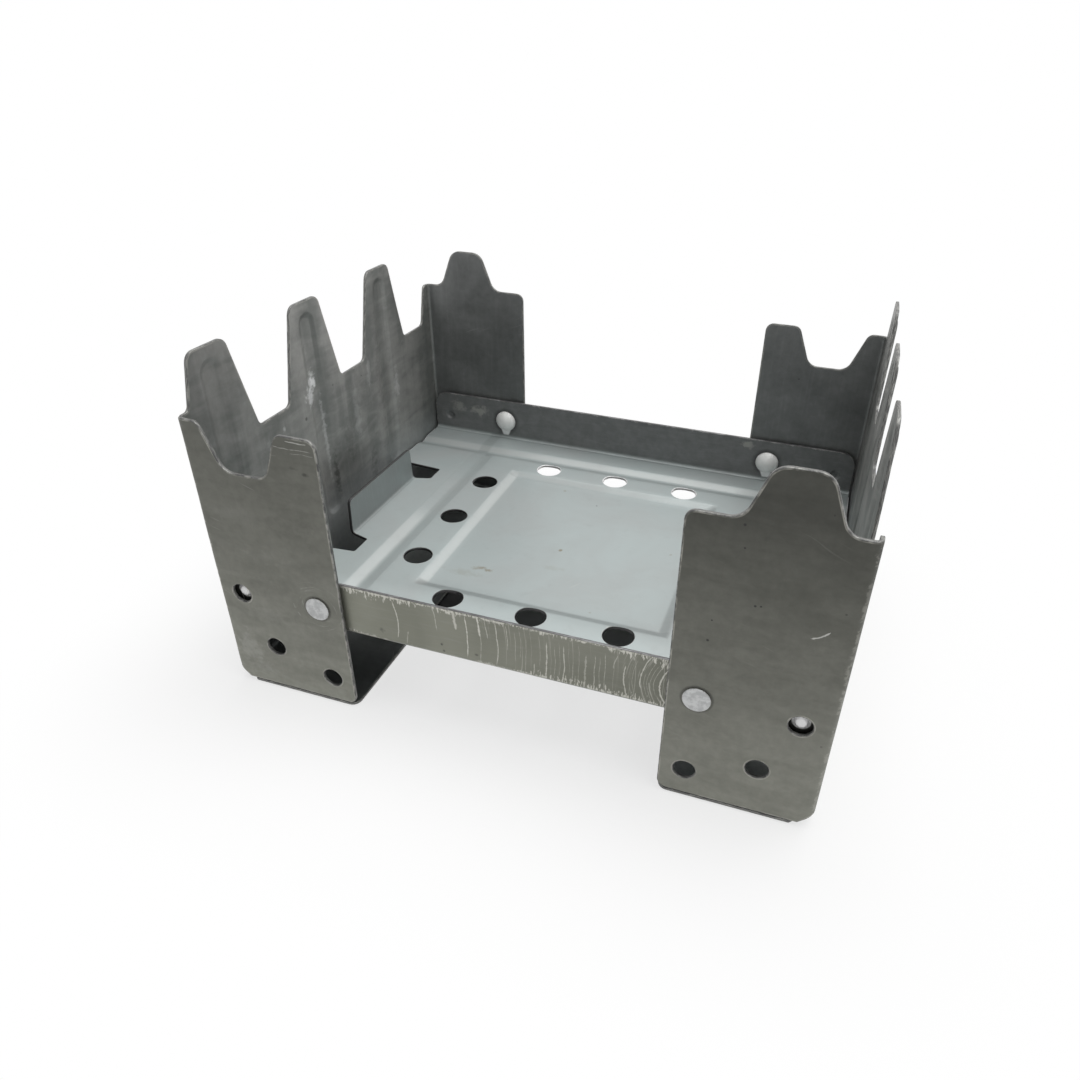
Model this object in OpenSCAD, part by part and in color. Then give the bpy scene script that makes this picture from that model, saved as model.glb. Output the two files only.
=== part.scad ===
// Folding pocket stove for solid fuel tablets, standing open.
// Millimetres. +X runs along the folded box, +Y to the rear, +Z up.
// The origin lies on the ground under the middle of the stove.
// Two equal sheet steel shells, turned half a turn to each other, carry a tray
// on four rivets. Each shell folds inwards through a right angle about its rivets.

/* [Folded box] */
// Length of the folded box
box_len = 98; // [96:1:104]
// Width of the folded box over both flaps
box_w = 77; // [74:1:84]
// Height of the folded box, which is the width of each flap
box_h = 22.8; // [22.4:0.2:25]

/* [Sheet steel] */
// Thickness of the sheet
sheet = 0.5; // [0.4:0.1:0.7]
// Outer radius of each bend
bend_r = 1.1; // [1:0.1:1.4]

/* [Pivots and detents] */
// Height of the pivots above the ground
pivot_h = 19.25; // [18.75:0.25:20.5]
// Distance from the pivots to the inner edge of each flap
pivot_edge = 4.3; // [4:0.1:4.6]
// Distance from each pivot to its detent holes
detent_reach = 14; // [13.5:0.25:14.5]
// Angle of the pressed pip below the level of its pivot
pip_angle = 2; // [0:1:4]
// Radius of the detent hole that holds the pip while the stove stands open
open_hole_r = 1.65; // [1.5:0.05:1.8]
// Radius of the detent holes for the half folded and the folded shell
fold_hole_r = 1.65; // [1.4:0.05:1.7]
// Radius of each pip where it leaves the flange
pip_r = 1.1; // [0.9:0.05:1.2]
// Gap between the flanges of the tray and the flaps
flange_gap = 0.5; // [0.4:0.05:0.7]
// Clearance between a pip and the flap that passes over it
pip_clear = 0.08; // [0.05:0.01:0.15]

/* [Rivets] */
// Radius of a rivet's shank
rivet_r = 1.3; // [1.1:0.05:1.5]
// Running clearance between the shank and its holes
rivet_fit = 0.05; // [0.02:0.01:0.1]
// Radius of the flat outer head
head_r = 2; // [1.8:0.05:2.3]
// Thickness of the outer head
head_h = 0.3; // [0.2:0.05:0.6]
// Gap between the outer head and the flap that turns under it
head_gap = 0.05; // [0.03:0.01:0.1]
// Radius of the domed inner head
dome_r = 2.4; // [2:0.05:2.6]
// Height of the domed inner head
dome_h = 1.2; // [0.8:0.1:1.5]

/* [Wall teeth] */
// Teeth on each wall
teeth = 3; // [2:1:4]
// Distance from the notched flap's outer face to the foot of the first tooth
tooth_inset = 2.5; // [2.4:0.1:3.2]
// Height of the teeth above the seam of the folded box
tooth_rise = 7.4; // [6:0.2:8]
// Sideways lean of a tooth's flank for each millimetre of its height
tooth_lean = 0.25; // [0.15:0.01:0.28]
// Gap along the wall between the teeth of the two folded shells
tooth_gap = 0.45; // [0.3:0.05:0.8]
// Gap that the folded shells leave along their seam
seam_gap = 1.2; // [0.8:0.1:1.8]
// Radius of the corners at the tip of a tooth
tip_round = 1.8; // [1:0.1:2]
// Radius of the corners at the foot of a notch
notch_round = 1.3; // [0.8:0.1:1.6]

/* [Wall ribs] */
// Width of the rib pressed outwards behind each tooth
rib_w = 4.6; // [3.6:0.1:5]
// Depth of the rib
rib_depth = 0.4; // [0.2:0.05:0.5]
// Width of the rib's sloping border
rib_slope = 0.9; // [0.6:0.05:1.1]
// Distance from the tip of a tooth to the top of its rib
rib_drop = 2; // [1.6:0.1:4]
// Height of the rib's lower end above the ground
rib_foot = 15; // [8:0.5:25]

/* [Flap tooth and notch] */
// Distance from the wall's outer face to the middle of the tooth or notch
flap_tooth_in = 10; // [9.5:0.25:10.75]
// Width of the flap's tooth at its tip
flap_tip_w = 6.4; // [5.6:0.1:6.8]
// Height of the flap's tooth above the seam of the folded box
flap_tooth_rise = 6.9; // [6:0.1:7.4]
// Sideways lean of the flap tooth's flank for each millimetre of its height
flap_tooth_lean = 0.38; // [0.3:0.01:0.42]
// Gap between the flap's tooth and the notch that takes it
flap_tooth_gap = 0.8; // [0.4:0.1:1]
// Radius of the corners at the tip of the flap's tooth
flap_tip_round = 2.6; // [1.6:0.1:2.8]
// Radius of the corners at the foot of the tooth and of the notch
flap_foot_round = 2.4; // [1.2:0.1:2.6]
// Radius of the flap's own corners
flap_round = 1.5; // [0.8:0.1:2]
// Size of the slanted corner between a flap, the wall and the foot plate
corner_cut = 2.1; // [1.6:0.1:2.6]
// Slit between a flap and the foot plate under it
foot_slit = 0.1; // [0.05:0.05:0.3]

/* [Tray] */
// Gap between each end of the tray and the wall
tray_end_gap = 0.4; // [0.3:0.05:0.6]
// Depth of the floor's top face below the pivots
floor_drop = 4.05; // [3.8:0.05:4.4]
// Height of the front and rear flanges above the pivots
flange_rise = 4.85; // [3.6:0.05:5.2]
// Radius of the upper corners of the front and rear flanges
flange_round = 3; // [2:0.25:4]
// Distance from each end of the tray back to its end lip
lip_in = 6.4; // [5.6:0.1:7.2]
// Width of the end lip
lip_w = 23.8; // [20:0.2:26]
// Height of the end lip above the floor's top face
lip_h = 6.8; // [5:0.1:7.4]
// Width of the relief notch beside the end lip
relief_w = 5.2; // [4.4:0.1:6]
// Depth of the relief notch behind the end lip
relief_in = 4; // [3.2:0.1:4.6]
// Taper of the end lip and of the notches beside it
relief_taper = 0.9; // [0.3:0.1:1.2]

/* [Tray floor] */
// Width of the grooves round the floor
groove_w = 4.6; // [4:0.1:5.4]
// Depth of the grooves
groove_depth = 0.6; // [0.3:0.05:0.8]
// Width of the flat bottom of the grooves
groove_flat = 0.6; // [0.4:0.1:1.4]
// Distance from the flanges to the middle of the two long grooves
long_groove_in = 8.2; // [7.2:0.1:9]
// Distance from the end lips to the middle of the two short grooves
short_groove_in = 9.9; // [9:0.1:10.5]
// Side of the sunken square panel
panel_w = 44.6; // [40:0.2:46]
// Depth of the sunken panel
panel_depth = 0.7; // [0.3:0.05:0.9]
// Width of the panel's sloping border
panel_slope = 1.7; // [1.2:0.1:3]
// Radius of the air holes
air_r = 2.5; // [2:0.1:2.8]
// Spacing of the air holes along a row
air_pitch = 14.8; // [12:0.2:16]
// Distance of the air holes' pattern behind the middle of the floor
air_back = 0.4; // [0:0.1:0.8]
// Air holes in a row
air_holes = 3; // [1:1:3]

/* [Hidden] */

$fn = 48;
// Steps in an arc of a rounded outline
arc_steps = 6;
// Overlap that lets a cutter pass its surface
over = 1;

// Pivots: folding turns the ground level of a shell into the end of the box
pivot_x = box_len / 2 - pivot_h;
// Outer face and inner edge of an open shell
wall_x = pivot_x + box_h - pivot_edge;
flap_in_x = pivot_x - pivot_edge;

// The seam of the folded box, as a height on the standing shells
seam_z = box_len / 2;
shoulder_z = seam_z - seam_gap / 2;
tip_z = seam_z + tooth_rise;
notch_z = seam_z - tooth_rise - seam_gap;
flap_tip_z = seam_z + flap_tooth_rise;
flap_notch_z = seam_z - flap_tooth_rise - seam_gap;
flap_foot_z = sheet + foot_slit;

// Teeth of both walls share the width, half a pitch apart
gaps_per_wall = teeth - 0.5;
tooth_start = (tooth_inset + box_w / gaps_per_wall / 4 - tooth_gap / 2 + tooth_lean * seam_gap / 2)
    / (1 + 0.5 / gaps_per_wall);
tooth_pitch = (box_w - 2 * tooth_start) / gaps_per_wall;
tooth_mid_w = tooth_pitch / 2 - tooth_gap;
// Corner where the wall's shoulder meets a tooth's flank, kept clear of the bend
shoulder_round = min(1, tooth_inset - bend_r);

// Tray
tray_x = wall_x - sheet - tray_end_gap;
flange_y = box_w / 2 - sheet - flange_gap;
floor_z = pivot_h - floor_drop;
flange_z = pivot_h + flange_rise;
lip_x = tray_x - lip_in;
short_groove_x = lip_x - short_groove_in;
long_groove_y = flange_y - long_groove_in;
air_row_x = (short_groove_x - groove_w / 2 + panel_w / 2) / 2;
air_row_y = (long_groove_y - groove_w / 2 + panel_w / 2) / 2;
pip_h = flange_gap - pip_clear;

// Fold angles at which a pip finds a hole
detents = [0, 45, 90];

// Unit vector along v
function unit(v) = v / norm(v);

// Arc of radius r in place of corner b between its neighbours a and c
function corner_arc(a, b, c, r) =
    r <= 0 ? [b] :
    let (
        u = unit(a - b),
        v = unit(c - b),
        half = acos(u * v) / 2,
        middle = b + unit(u + v) * r / sin(half),
        from = b + u * r / tan(half) - middle,
        to = b + v * r / tan(half) - middle,
        start = atan2(from.y, from.x),
        turn = atan2(from.x * to.y - from.y * to.x, from * to)
    )
    [for (i = [0:arc_steps]) middle + r * [cos(start + turn * i / arc_steps), sin(start + turn * i / arc_steps)]];

// Outline through the points [x, y, radius], each corner rounded by its radius
function rounded(points) =
    let (n = len(points))
    [
        for (i = [0:n - 1])
            let (a = points[(i + n - 1) % n], b = points[i], c = points[(i + 1) % n])
            each corner_arc([a.x, a.y], [b.x, b.y], [c.x, c.y], b.z)
    ];

// Extrudes an outline drawn in x and z along y, from y0 to y1
module along_y(y0, y1) {
    translate([0, y1, 0])
        rotate([90, 0, 0])
            linear_extrude(y1 - y0)
                children();
}

// Extrudes an outline drawn in y and z along x, from x0 to x1
module along_x(x0, x1) {
    translate([x0, 0, 0])
        rotate([90, 0, 90])
            linear_extrude(x1 - x0)
                children();
}

// Bar of sheet with a bend: a floor up to x = reach, then a leg up to height
module bent_outline(reach, start, height) {
    inner_r = bend_r - sheet;
    polygon(rounded([
        [start, 0, 0],
        [reach, 0, bend_r],
        [reach, height, 0],
        [reach - sheet, height, 0],
        [reach - sheet, sheet, inner_r],
        [start, sheet, 0]
    ]));
}

// Half the width of a wall tooth at height z
function tooth_half(z) = tooth_mid_w / 2 - tooth_lean * (z - seam_z);

// Wall between its two bends, drawn in y and z, with the notched flap at the front
module wall_outline() {
    front = -box_w / 2;
    first = front + tooth_start;
    last = first + (teeth - 1) * tooth_pitch;
    polygon(rounded(concat(
        [
            [front + bend_r, corner_cut + sheet, 0],
            [front + bend_r, shoulder_z, 0],
            [first - tooth_half(shoulder_z), shoulder_z, shoulder_round]
        ],
        [
            for (i = [0:teeth - 1])
                let (y = first + i * tooth_pitch)
                each [
                    if (i > 0) [y - tooth_half(notch_z), notch_z, notch_round],
                    [y - tooth_half(tip_z), tip_z, tip_round],
                    [y + tooth_half(tip_z), tip_z, tip_round],
                    [y + tooth_half(notch_z), notch_z, notch_round]
                ]
        ],
        [
            [last + tooth_pitch - tooth_half(notch_z), notch_z, notch_round],
            [last + tooth_pitch - tooth_half(shoulder_z), shoulder_z, shoulder_round],
            [-front - bend_r, shoulder_z, 0],
            [-front - bend_r, corner_cut + sheet, 0],
            [-front - corner_cut, corner_cut + sheet, 0],
            [-front - corner_cut, bend_r, 0],
            [front + corner_cut, bend_r, 0],
            [front + corner_cut, corner_cut + sheet, 0]
        ]
    )));
}

// Flap of the left shell in x and z. The points of its top run from the wall inwards
module flap_outline(top) {
    polygon(rounded(concat(
        [
            [-wall_x + corner_cut, flap_foot_z, 0],
            [-wall_x, flap_foot_z + corner_cut, 0],
            [-wall_x, shoulder_z, 0]
        ],
        top,
        [
            [-flap_in_x, shoulder_z, flap_round],
            [-flap_in_x, flap_foot_z, flap_round]
        ]
    )));
}

// Half the width of the flap's tooth at height z
function flap_tooth_half(z) = flap_tip_w / 2 + flap_tooth_lean * (flap_tip_z - z);

// Half the width of the notch, which takes the other shell's tooth upside down
function flap_notch_half(z) = flap_tooth_half(2 * seam_z - z) + flap_tooth_gap;

module tooth_flap_outline() {
    middle = -wall_x + flap_tooth_in;
    flap_outline([
        [middle - flap_tooth_half(shoulder_z), shoulder_z, flap_foot_round],
        [middle - flap_tooth_half(flap_tip_z), flap_tip_z, flap_tip_round],
        [middle + flap_tooth_half(flap_tip_z), flap_tip_z, flap_tip_round],
        [middle + flap_tooth_half(shoulder_z), shoulder_z, flap_foot_round]
    ]);
}

module notch_flap_outline() {
    middle = -wall_x + flap_tooth_in;
    flap_outline([
        [middle - flap_notch_half(shoulder_z), shoulder_z, flap_round],
        [middle - flap_notch_half(flap_notch_z), flap_notch_z, flap_foot_round],
        [middle + flap_notch_half(flap_notch_z), flap_notch_z, flap_foot_round],
        [middle + flap_notch_half(shoulder_z), shoulder_z, flap_round]
    ]);
}

// Wall and flaps as one channel of sheet, before their outlines are cut
module channel() {
    y = box_w / 2;
    inner_r = bend_r - sheet;
    linear_extrude(tip_z)
        polygon(rounded([
            [-flap_in_x, -y, 0],
            [-wall_x, -y, bend_r],
            [-wall_x, y, bend_r],
            [-flap_in_x, y, 0],
            [-flap_in_x, y - sheet, 0],
            [-wall_x + sheet, y - sheet, inner_r],
            [-wall_x + sheet, -y + sheet, inner_r],
            [-flap_in_x, -y + sheet, 0]
        ]));
}

// Foot plate, bent inwards from the wall, that the open shell stands on
module foot_plate() {
    y = box_w / 2;
    bend_x = -wall_x + bend_r;
    along_y(-y + corner_cut, y - corner_cut)
        mirror([1, 0])
            bent_outline(wall_x, -bend_x - over, bend_r + over);
    linear_extrude(sheet)
        polygon(rounded([
            [bend_x, -y + corner_cut, 0],
            [bend_x + corner_cut, -y, 0],
            [-flap_in_x, -y, flap_round],
            [-flap_in_x, y, flap_round],
            [bend_x + corner_cut, y, 0],
            [bend_x, y - corner_cut, 0]
        ]));
}

// Rib with its mouth in the plane z = 0 and its length along x, sunk below it
module rib_shape(length) {
    run = length - rib_w;
    half = [
        [0, sheet / 2],
        [rib_w / 2, sheet / 2],
        [rib_w / 2, 0],
        [rib_w / 2 - rib_slope, -rib_depth],
        [0, -rib_depth]
    ];
    along_x(-run / 2, run / 2)
        polygon(concat(half, [for (i = [3:-1:1]) [-half[i].x, half[i].y]]));
    for (end = [-1, 1])
        translate([end * run / 2, 0, 0])
            rotate([0, 0, -90 * end])
                rotate_extrude(angle = 180)
                    polygon(half);
}

// The ribs of a wall, pressed in from a mouth at x = from_x
module ribs(from_x) {
    top = tip_z - rib_drop;
    for (i = [0:teeth - 1])
        translate([from_x, -box_w / 2 + tooth_start + i * tooth_pitch, (rib_foot + top) / 2])
            rotate([0, 90, 0])
                rib_shape(top - rib_foot);
}

// Pivot and detent holes through both flaps of the left shell
module flap_holes() {
    translate([-pivot_x, 0, pivot_h])
        rotate([90, 0, 0]) {
            cylinder(r = rivet_r + rivet_fit, h = box_w + 2 * over, center = true);
            for (fold = detents)
                rotate([0, 0, pip_angle + fold])
                    translate([-detent_reach, 0, 0])
                        cylinder(r = fold == 0 ? open_hole_r : fold_hole_r, h = box_w + 2 * over, center = true);
        }
}

// Left shell. The right one is the same piece, turned half a turn
module shell() {
    y = box_w / 2;
    difference() {
        union() {
            intersection() {
                channel();
                union() {
                    along_x(-wall_x - over, -wall_x + bend_r)
                        wall_outline();
                    along_y(-y - over, -y + bend_r)
                        notch_flap_outline();
                    along_y(y - bend_r, y + over)
                        tooth_flap_outline();
                }
            }
            foot_plate();
            ribs(-wall_x);
        }
        ribs(-wall_x + sheet);
        flap_holes();
    }
}

module left_shell() {
    color("dimgray")
        shell();
}

module right_shell() {
    color("dimgray")
        rotate([0, 0, 180])
            shell();
}

// Groove with its mouth in the plane z = 0, drawn in y and z
module groove_outline() {
    polygon([
        [-groove_w / 2, 0],
        [-groove_flat / 2, -groove_depth],
        [groove_flat / 2, -groove_depth],
        [groove_w / 2, 0],
        [groove_w / 2, sheet / 2],
        [-groove_w / 2, sheet / 2]
    ]);
}

// Panel with its mouth in the plane z = 0, drawn in y and z
module panel_outline() {
    polygon([
        [-panel_w / 2, 0],
        [-panel_w / 2 + panel_slope, -panel_depth],
        [panel_w / 2 - panel_slope, -panel_depth],
        [panel_w / 2, 0],
        [panel_w / 2, sheet / 2],
        [-panel_w / 2, sheet / 2]
    ]);
}

// Everything pressed down into the floor, from a top face at height z
module pressings(z) {
    translate([0, 0, z]) {
        for (side = [-1, 1]) {
            translate([0, side * long_groove_y, 0])
                along_x(-tray_x, tray_x)
                    groove_outline();
            translate([side * short_groove_x, 0, 0])
                along_y(-long_groove_y, long_groove_y)
                    groove_outline();
        }
        intersection() {
            along_x(-panel_w / 2, panel_w / 2)
                panel_outline();
            along_y(-panel_w / 2, panel_w / 2)
                panel_outline();
        }
    }
}

// Floor and long flanges, drawn in y and z
module tray_channel_outline() {
    floor_under = floor_z - sheet;
    inner_r = bend_r - sheet;
    inner_y = flange_y - sheet;
    polygon(rounded([
        [-flange_y, flange_z, 0],
        [-flange_y, floor_under, bend_r],
        [flange_y, floor_under, bend_r],
        [flange_y, flange_z, 0],
        [inner_y, flange_z, 0],
        [inner_y, floor_z, inner_r],
        [-inner_y, floor_z, inner_r],
        [-inner_y, flange_z, 0]
    ]));
}

// What is cut from the right end of the floor, so that the lip can be bent up
module end_cut_outline() {
    lip_y = lip_w / 2;
    bend_start = lip_x - bend_r;
    notch_x = lip_x - relief_in;
    past = tray_x + over;
    polygon([
        [bend_start, -lip_y],
        [notch_x, -lip_y - relief_taper],
        [notch_x, -lip_y - relief_w],
        [past, -lip_y - relief_w - relief_taper],
        [past, lip_y + relief_w + relief_taper],
        [notch_x, lip_y + relief_w],
        [notch_x, lip_y + relief_taper],
        [bend_start, lip_y]
    ]);
}

// Lip bent up at the right end of the floor
module end_lip() {
    floor_under = floor_z - sheet;
    height = lip_h + sheet;
    lip_y = lip_w / 2;
    translate([0, 0, floor_under])
        intersection() {
            along_y(-lip_y, lip_y)
                bent_outline(lip_x, lip_x - bend_r - over, height);
            along_x(0, tray_x)
                polygon(rounded([
                    [-lip_y, 0, 0],
                    [-lip_y + relief_taper / 2, height, 1],
                    [lip_y - relief_taper / 2, height, 1],
                    [lip_y, 0, 0]
                ]));
        }
}

// Places children on each flange over a pip, with +Z pointing out of the flange
module at_pips() {
    for (side = [-1, 1], end = [-1, 1])
        translate([
            side * (pivot_x + detent_reach * cos(pip_angle)),
            end * flange_y,
            pivot_h - detent_reach * sin(pip_angle)
        ])
            rotate([-90 * end, 0, 0])
                children();
}

// Cap of a ball, of height h and radius r at the plane z = 0. Its root reaches below that plane
module cap(r, h, root) {
    ball_r = (r * r + h * h) / (2 * h);
    intersection() {
        translate([0, 0, h - ball_r])
            sphere(ball_r);
        translate([-r - over, -r - over, -root])
            cube([2 * (r + over), 2 * (r + over), root + h + over]);
    }
}

module tray() {
    color("lightslategray")
        difference() {
            union() {
                difference() {
                    intersection() {
                        along_x(-tray_x, tray_x)
                            tray_channel_outline();
                        along_y(-box_w / 2, box_w / 2)
                            polygon(rounded([
                                [-tray_x, 0, 0],
                                [-tray_x, flange_z, flange_round],
                                [tray_x, flange_z, flange_round],
                                [tray_x, 0, 0]
                            ]));
                    }
                    for (turn = [0, 180])
                        rotate([0, 0, turn])
                            linear_extrude(pivot_h)
                                end_cut_outline();
                }
                for (turn = [0, 180])
                    rotate([0, 0, turn])
                        end_lip();
                pressings(floor_z - sheet);
                at_pips()
                    cap(pip_r, pip_h, sheet / 2);
            }
            pressings(floor_z);
            tray_holes();
            at_pips()
                translate([0, 0, -sheet])
                    cap(pip_r, pip_h, sheet / 2);
        }
}

// Air holes in the floor and rivet holes in the flanges
module tray_holes() {
    first = -(air_holes - 1) / 2 * air_pitch;
    for (i = [0:air_holes - 1], side = [-1, 1]) {
        translate([side * air_row_x, air_back + first + i * air_pitch, 0])
            cylinder(r = air_r, h = pivot_h);
        translate([first + i * air_pitch, air_back + side * air_row_y, 0])
            cylinder(r = air_r, h = pivot_h);
    }
    for (side = [-1, 1])
        translate([side * pivot_x, 0, pivot_h])
            rotate([90, 0, 0])
                cylinder(r = rivet_r + rivet_fit, h = box_w, center = true);
}

// Rivet with +Z pointing out of the stove and the flap's outer face at z = 0
module rivet() {
    grip = 2 * sheet + flange_gap;
    color("gainsboro") {
        rotate_extrude()
            polygon(rounded([
                [0, -grip - dome_h / 3, 0],
                [rivet_r, -grip - dome_h / 3, 0],
                [rivet_r, head_gap, 0],
                [head_r, head_gap, 0],
                [head_r, head_gap + head_h, head_h * 0.6],
                [0, head_gap + head_h, 0]
            ]));
        translate([0, 0, -grip])
            mirror([0, 0, 1])
                cap(dome_r, dome_h, 0);
    }
}

// One of the four rivets: side is -1 at the left, end is -1 at the front
module placed_rivet(side, end) {
    translate([side * pivot_x, end * box_w / 2, pivot_h])
        rotate([-90 * end, 0, 0])
            rivet();
}

module rivet_front_left() {
    placed_rivet(-1, -1);
}

module rivet_front_right() {
    placed_rivet(1, -1);
}

module rivet_rear_left() {
    placed_rivet(-1, 1);
}

module rivet_rear_right() {
    placed_rivet(1, 1);
}

tray();
left_shell();
right_shell();
rivet_front_left();
rivet_front_right();
rivet_rear_left();
rivet_rear_right();
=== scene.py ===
import math

import bmesh
import bpy
import numpy as np
from mathutils import Matrix, Vector, noise
from mathutils.geometry import delaunay_2d_cdt


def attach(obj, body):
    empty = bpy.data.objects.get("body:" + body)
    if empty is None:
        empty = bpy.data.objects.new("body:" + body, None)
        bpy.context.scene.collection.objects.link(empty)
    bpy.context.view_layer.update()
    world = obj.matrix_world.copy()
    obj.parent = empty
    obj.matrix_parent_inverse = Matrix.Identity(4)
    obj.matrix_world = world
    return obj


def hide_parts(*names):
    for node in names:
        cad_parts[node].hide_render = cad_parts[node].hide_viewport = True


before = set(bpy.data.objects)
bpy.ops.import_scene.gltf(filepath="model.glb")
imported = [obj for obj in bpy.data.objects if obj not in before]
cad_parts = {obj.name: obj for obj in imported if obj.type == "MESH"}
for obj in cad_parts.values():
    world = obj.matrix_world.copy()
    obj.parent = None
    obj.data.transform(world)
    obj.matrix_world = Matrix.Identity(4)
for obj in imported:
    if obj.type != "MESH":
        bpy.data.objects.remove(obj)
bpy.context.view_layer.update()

MM = 0.001

# Sheet and folded box
SHEET = 0.5
BEND = 1.1
MID = BEND - SHEET / 2
ARC = MID * math.pi / 2
HALF_W = 38.5
FLAP_W = 22.8
PIVOT_X = 29.75
PIVOT_Z = 19.25
WALL_X = 48.25
PIVOT_IN = WALL_X - PIVOT_X

# Shell
WALL_BEND = HALF_W - BEND
SEAM_Z = 49.0
SHOULDER_Z = 48.4
TIP_Z = 56.4
NOTCH_Z = 40.4
TEETH = 3
TOOTH_START = 8.4375
TOOTH_PITCH = 24.05
TOOTH_MID_W = 11.575
TOOTH_LEAN = 0.25
FLAP_TOOTH_IN = 10.0
FLAP_TOOTH_HALF = 3.2
FLAP_TOOTH_LEAN = 0.38
FLAP_TIP_Z = 55.9
FLAP_NOTCH_Z = 40.9
FLAP_NOTCH_GAP = 0.8
FLAP_FOOT_Z = 0.6
CORNER_CUT = 2.1
RIB_W = 4.6
RIB_DEPTH = 0.38
RIB_SLOPE = 0.9
RIB_LOW = 15.0 + RIB_W / 2
RIB_HIGH = 54.4 - RIB_W / 2

# Pivots and detents
HOLE_R = 1.35
REACH = 14.0
PIP_ANGLE = 2.0
DETENT_FOLDS = (0, 45, 90)
DETENT_R = 1.65
PIP_R = 1.1
PIP_H = 0.42
PIP_SLOPE = 0.42

# Tray
TRAY_X = 47.35
FLANGE_Y = 37.5
FLANGE_BEND = FLANGE_Y - BEND
FLANGE_Z = 24.1
FLOOR_Z = 15.2
FLOOR_BEND_Z = FLOOR_Z - SHEET + BEND
LIP_X = 40.95
LIP_BEND = LIP_X - BEND
LIP_W = 23.8
LIP_TOP_Z = 22.0
LONG_GROOVE_Y = 29.3
SHORT_GROOVE_X = 31.05
GROOVE_W = 4.6
GROOVE_SLOPE = (GROOVE_W - 0.6) / 2
GROOVE_DEPTH = 0.58
GROOVE_SOFT = 0.16
PANEL_W = 44.6
PANEL_SLOPE = 1.7
PANEL_DEPTH = 0.68
PANEL_SOFT = 0.12
AIR_R = 2.5
AIR_PITCH = 14.8
AIR_BACK = 0.4
AIR_X = 25.525
AIR_Y = 24.65

# Rivets
SHANK_R = 1.3
HEAD_R = 2.0
HEAD_H = 0.35
DOME_R = 2.4
DOME_H = 1.2
RIVET_SIDES = 48

# Spacing of a blank's points
GRID = 1.6
RIM_STEP = 0.8
HOLE_POINTS = 40
ROW_STEP = 1.1


# Flat blanks

def unit(v):
    return v / np.linalg.norm(v)


def rounded(corners, steps=6):
    """Outline through the corners (u, v, radius), each one rounded by its radius."""
    outline = []
    for i, (u, v, r) in enumerate(corners):
        b = np.array((u, v))
        if r <= 0:
            outline.append(b)
            continue
        to_last = unit(np.array(corners[i - 1][:2]) - b)
        to_next = unit(np.array(corners[(i + 1) % len(corners)][:2]) - b)
        half = math.acos(np.clip(to_last @ to_next, -1, 1)) / 2
        middle = b + unit(to_last + to_next) * r / math.sin(half)
        a0 = b + to_last * r / math.tan(half) - middle
        a1 = b + to_next * r / math.tan(half) - middle
        start = math.atan2(a0[1], a0[0])
        turn = math.atan2(a0[0] * a1[1] - a0[1] * a1[0], a0 @ a1)
        for k in range(steps + 1):
            a = start + turn * k / steps
            outline.append(middle + r * np.array((math.cos(a), math.sin(a))))
    return outline


def spaced(outline, gap):
    """The closed outline with no step longer than gap."""
    points = []
    for a, b in zip(outline, outline[1:] + outline[:1]):
        n = max(1, math.ceil(np.linalg.norm(b - a) / gap))
        points += [a + (b - a) * k / n for k in range(n)]
    return np.array(points)


def row(us, v):
    return np.stack((us, np.full(len(us), v)), 1)


def column(u, vs):
    return np.stack((np.full(len(vs), u), vs), 1)


def ring(u, v, r, n):
    a = np.arange(n) * 2 * math.pi / n
    return np.stack((u + r * np.cos(a), v + r * np.sin(a)), 1)


def inward(loop, hole):
    """Unit vectors at a loop's points that lead into the sheet."""
    ahead = np.roll(loop, -1, 0) - loop
    behind = loop - np.roll(loop, 1, 0)
    along = ahead / np.linalg.norm(ahead, axis=1)[:, None] + behind / np.linalg.norm(behind, axis=1)[:, None]
    side = np.stack((-along[:, 1], along[:, 0]), 1)
    side /= np.linalg.norm(side, axis=1)[:, None]
    area = np.sum(loop[:, 0] * np.roll(loop[:, 1], -1) - loop[:, 1] * np.roll(loop[:, 0], -1))
    return side * (1 if (area > 0) != hole else -1)


def rim_distance(points, loops):
    """Distance of each point to the nearest cut edge of the blank."""
    best = np.full(len(points), np.inf)
    for loop in loops:
        d = np.roll(loop, -1, 0) - loop
        length2 = np.sum(d * d, 1)
        for start in range(0, len(points), 2000):
            p = points[start:start + 2000, None, :] - loop[None]
            t = np.clip(np.sum(p * d, 2) / length2, 0, 1)
            gap = np.linalg.norm(p - t[..., None] * d, axis=2).min(1)
            best[start:start + 2000] = np.minimum(best[start:start + 2000], gap)
    return best


def in_outline(points, loop):
    inside = np.zeros(len(points), bool)
    for (ax, ay), (bx, by) in zip(loop, np.roll(loop, -1, 0)):
        if ay != by:
            crosses = (ay > points[:, 1]) != (by > points[:, 1])
            inside ^= crosses & (points[:, 0] < (bx - ax) * (points[:, 1] - ay) / (by - ay) + ax)
    return inside


def in_sheet(points, outline, holes, share=1.0):
    """Which points lie inside the outline and outside the holes, each taken at a share of its radius."""
    inside = in_outline(points, outline)
    for u, v, r in holes:
        inside &= np.hypot(points[:, 0] - u, points[:, 1] - v) > r * share
    return inside


def apart(kept, points, gap):
    """Adds the points that lie at least gap from those kept so far."""
    cells = {}
    for p in kept:
        cells.setdefault((int(p[0] // gap), int(p[1] // gap)), []).append(p)
    for p in points:
        cx, cy = int(p[0] // gap), int(p[1] // gap)
        near = (q for i in (-1, 0, 1) for j in (-1, 0, 1) for q in cells.get((cx + i, cy + j), ()))
        if all((p[0] - q[0]) ** 2 + (p[1] - q[1]) ** 2 >= gap * gap for q in near):
            kept.append(p)
            cells.setdefault((cx, cy), []).append(p)
    return kept


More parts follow.
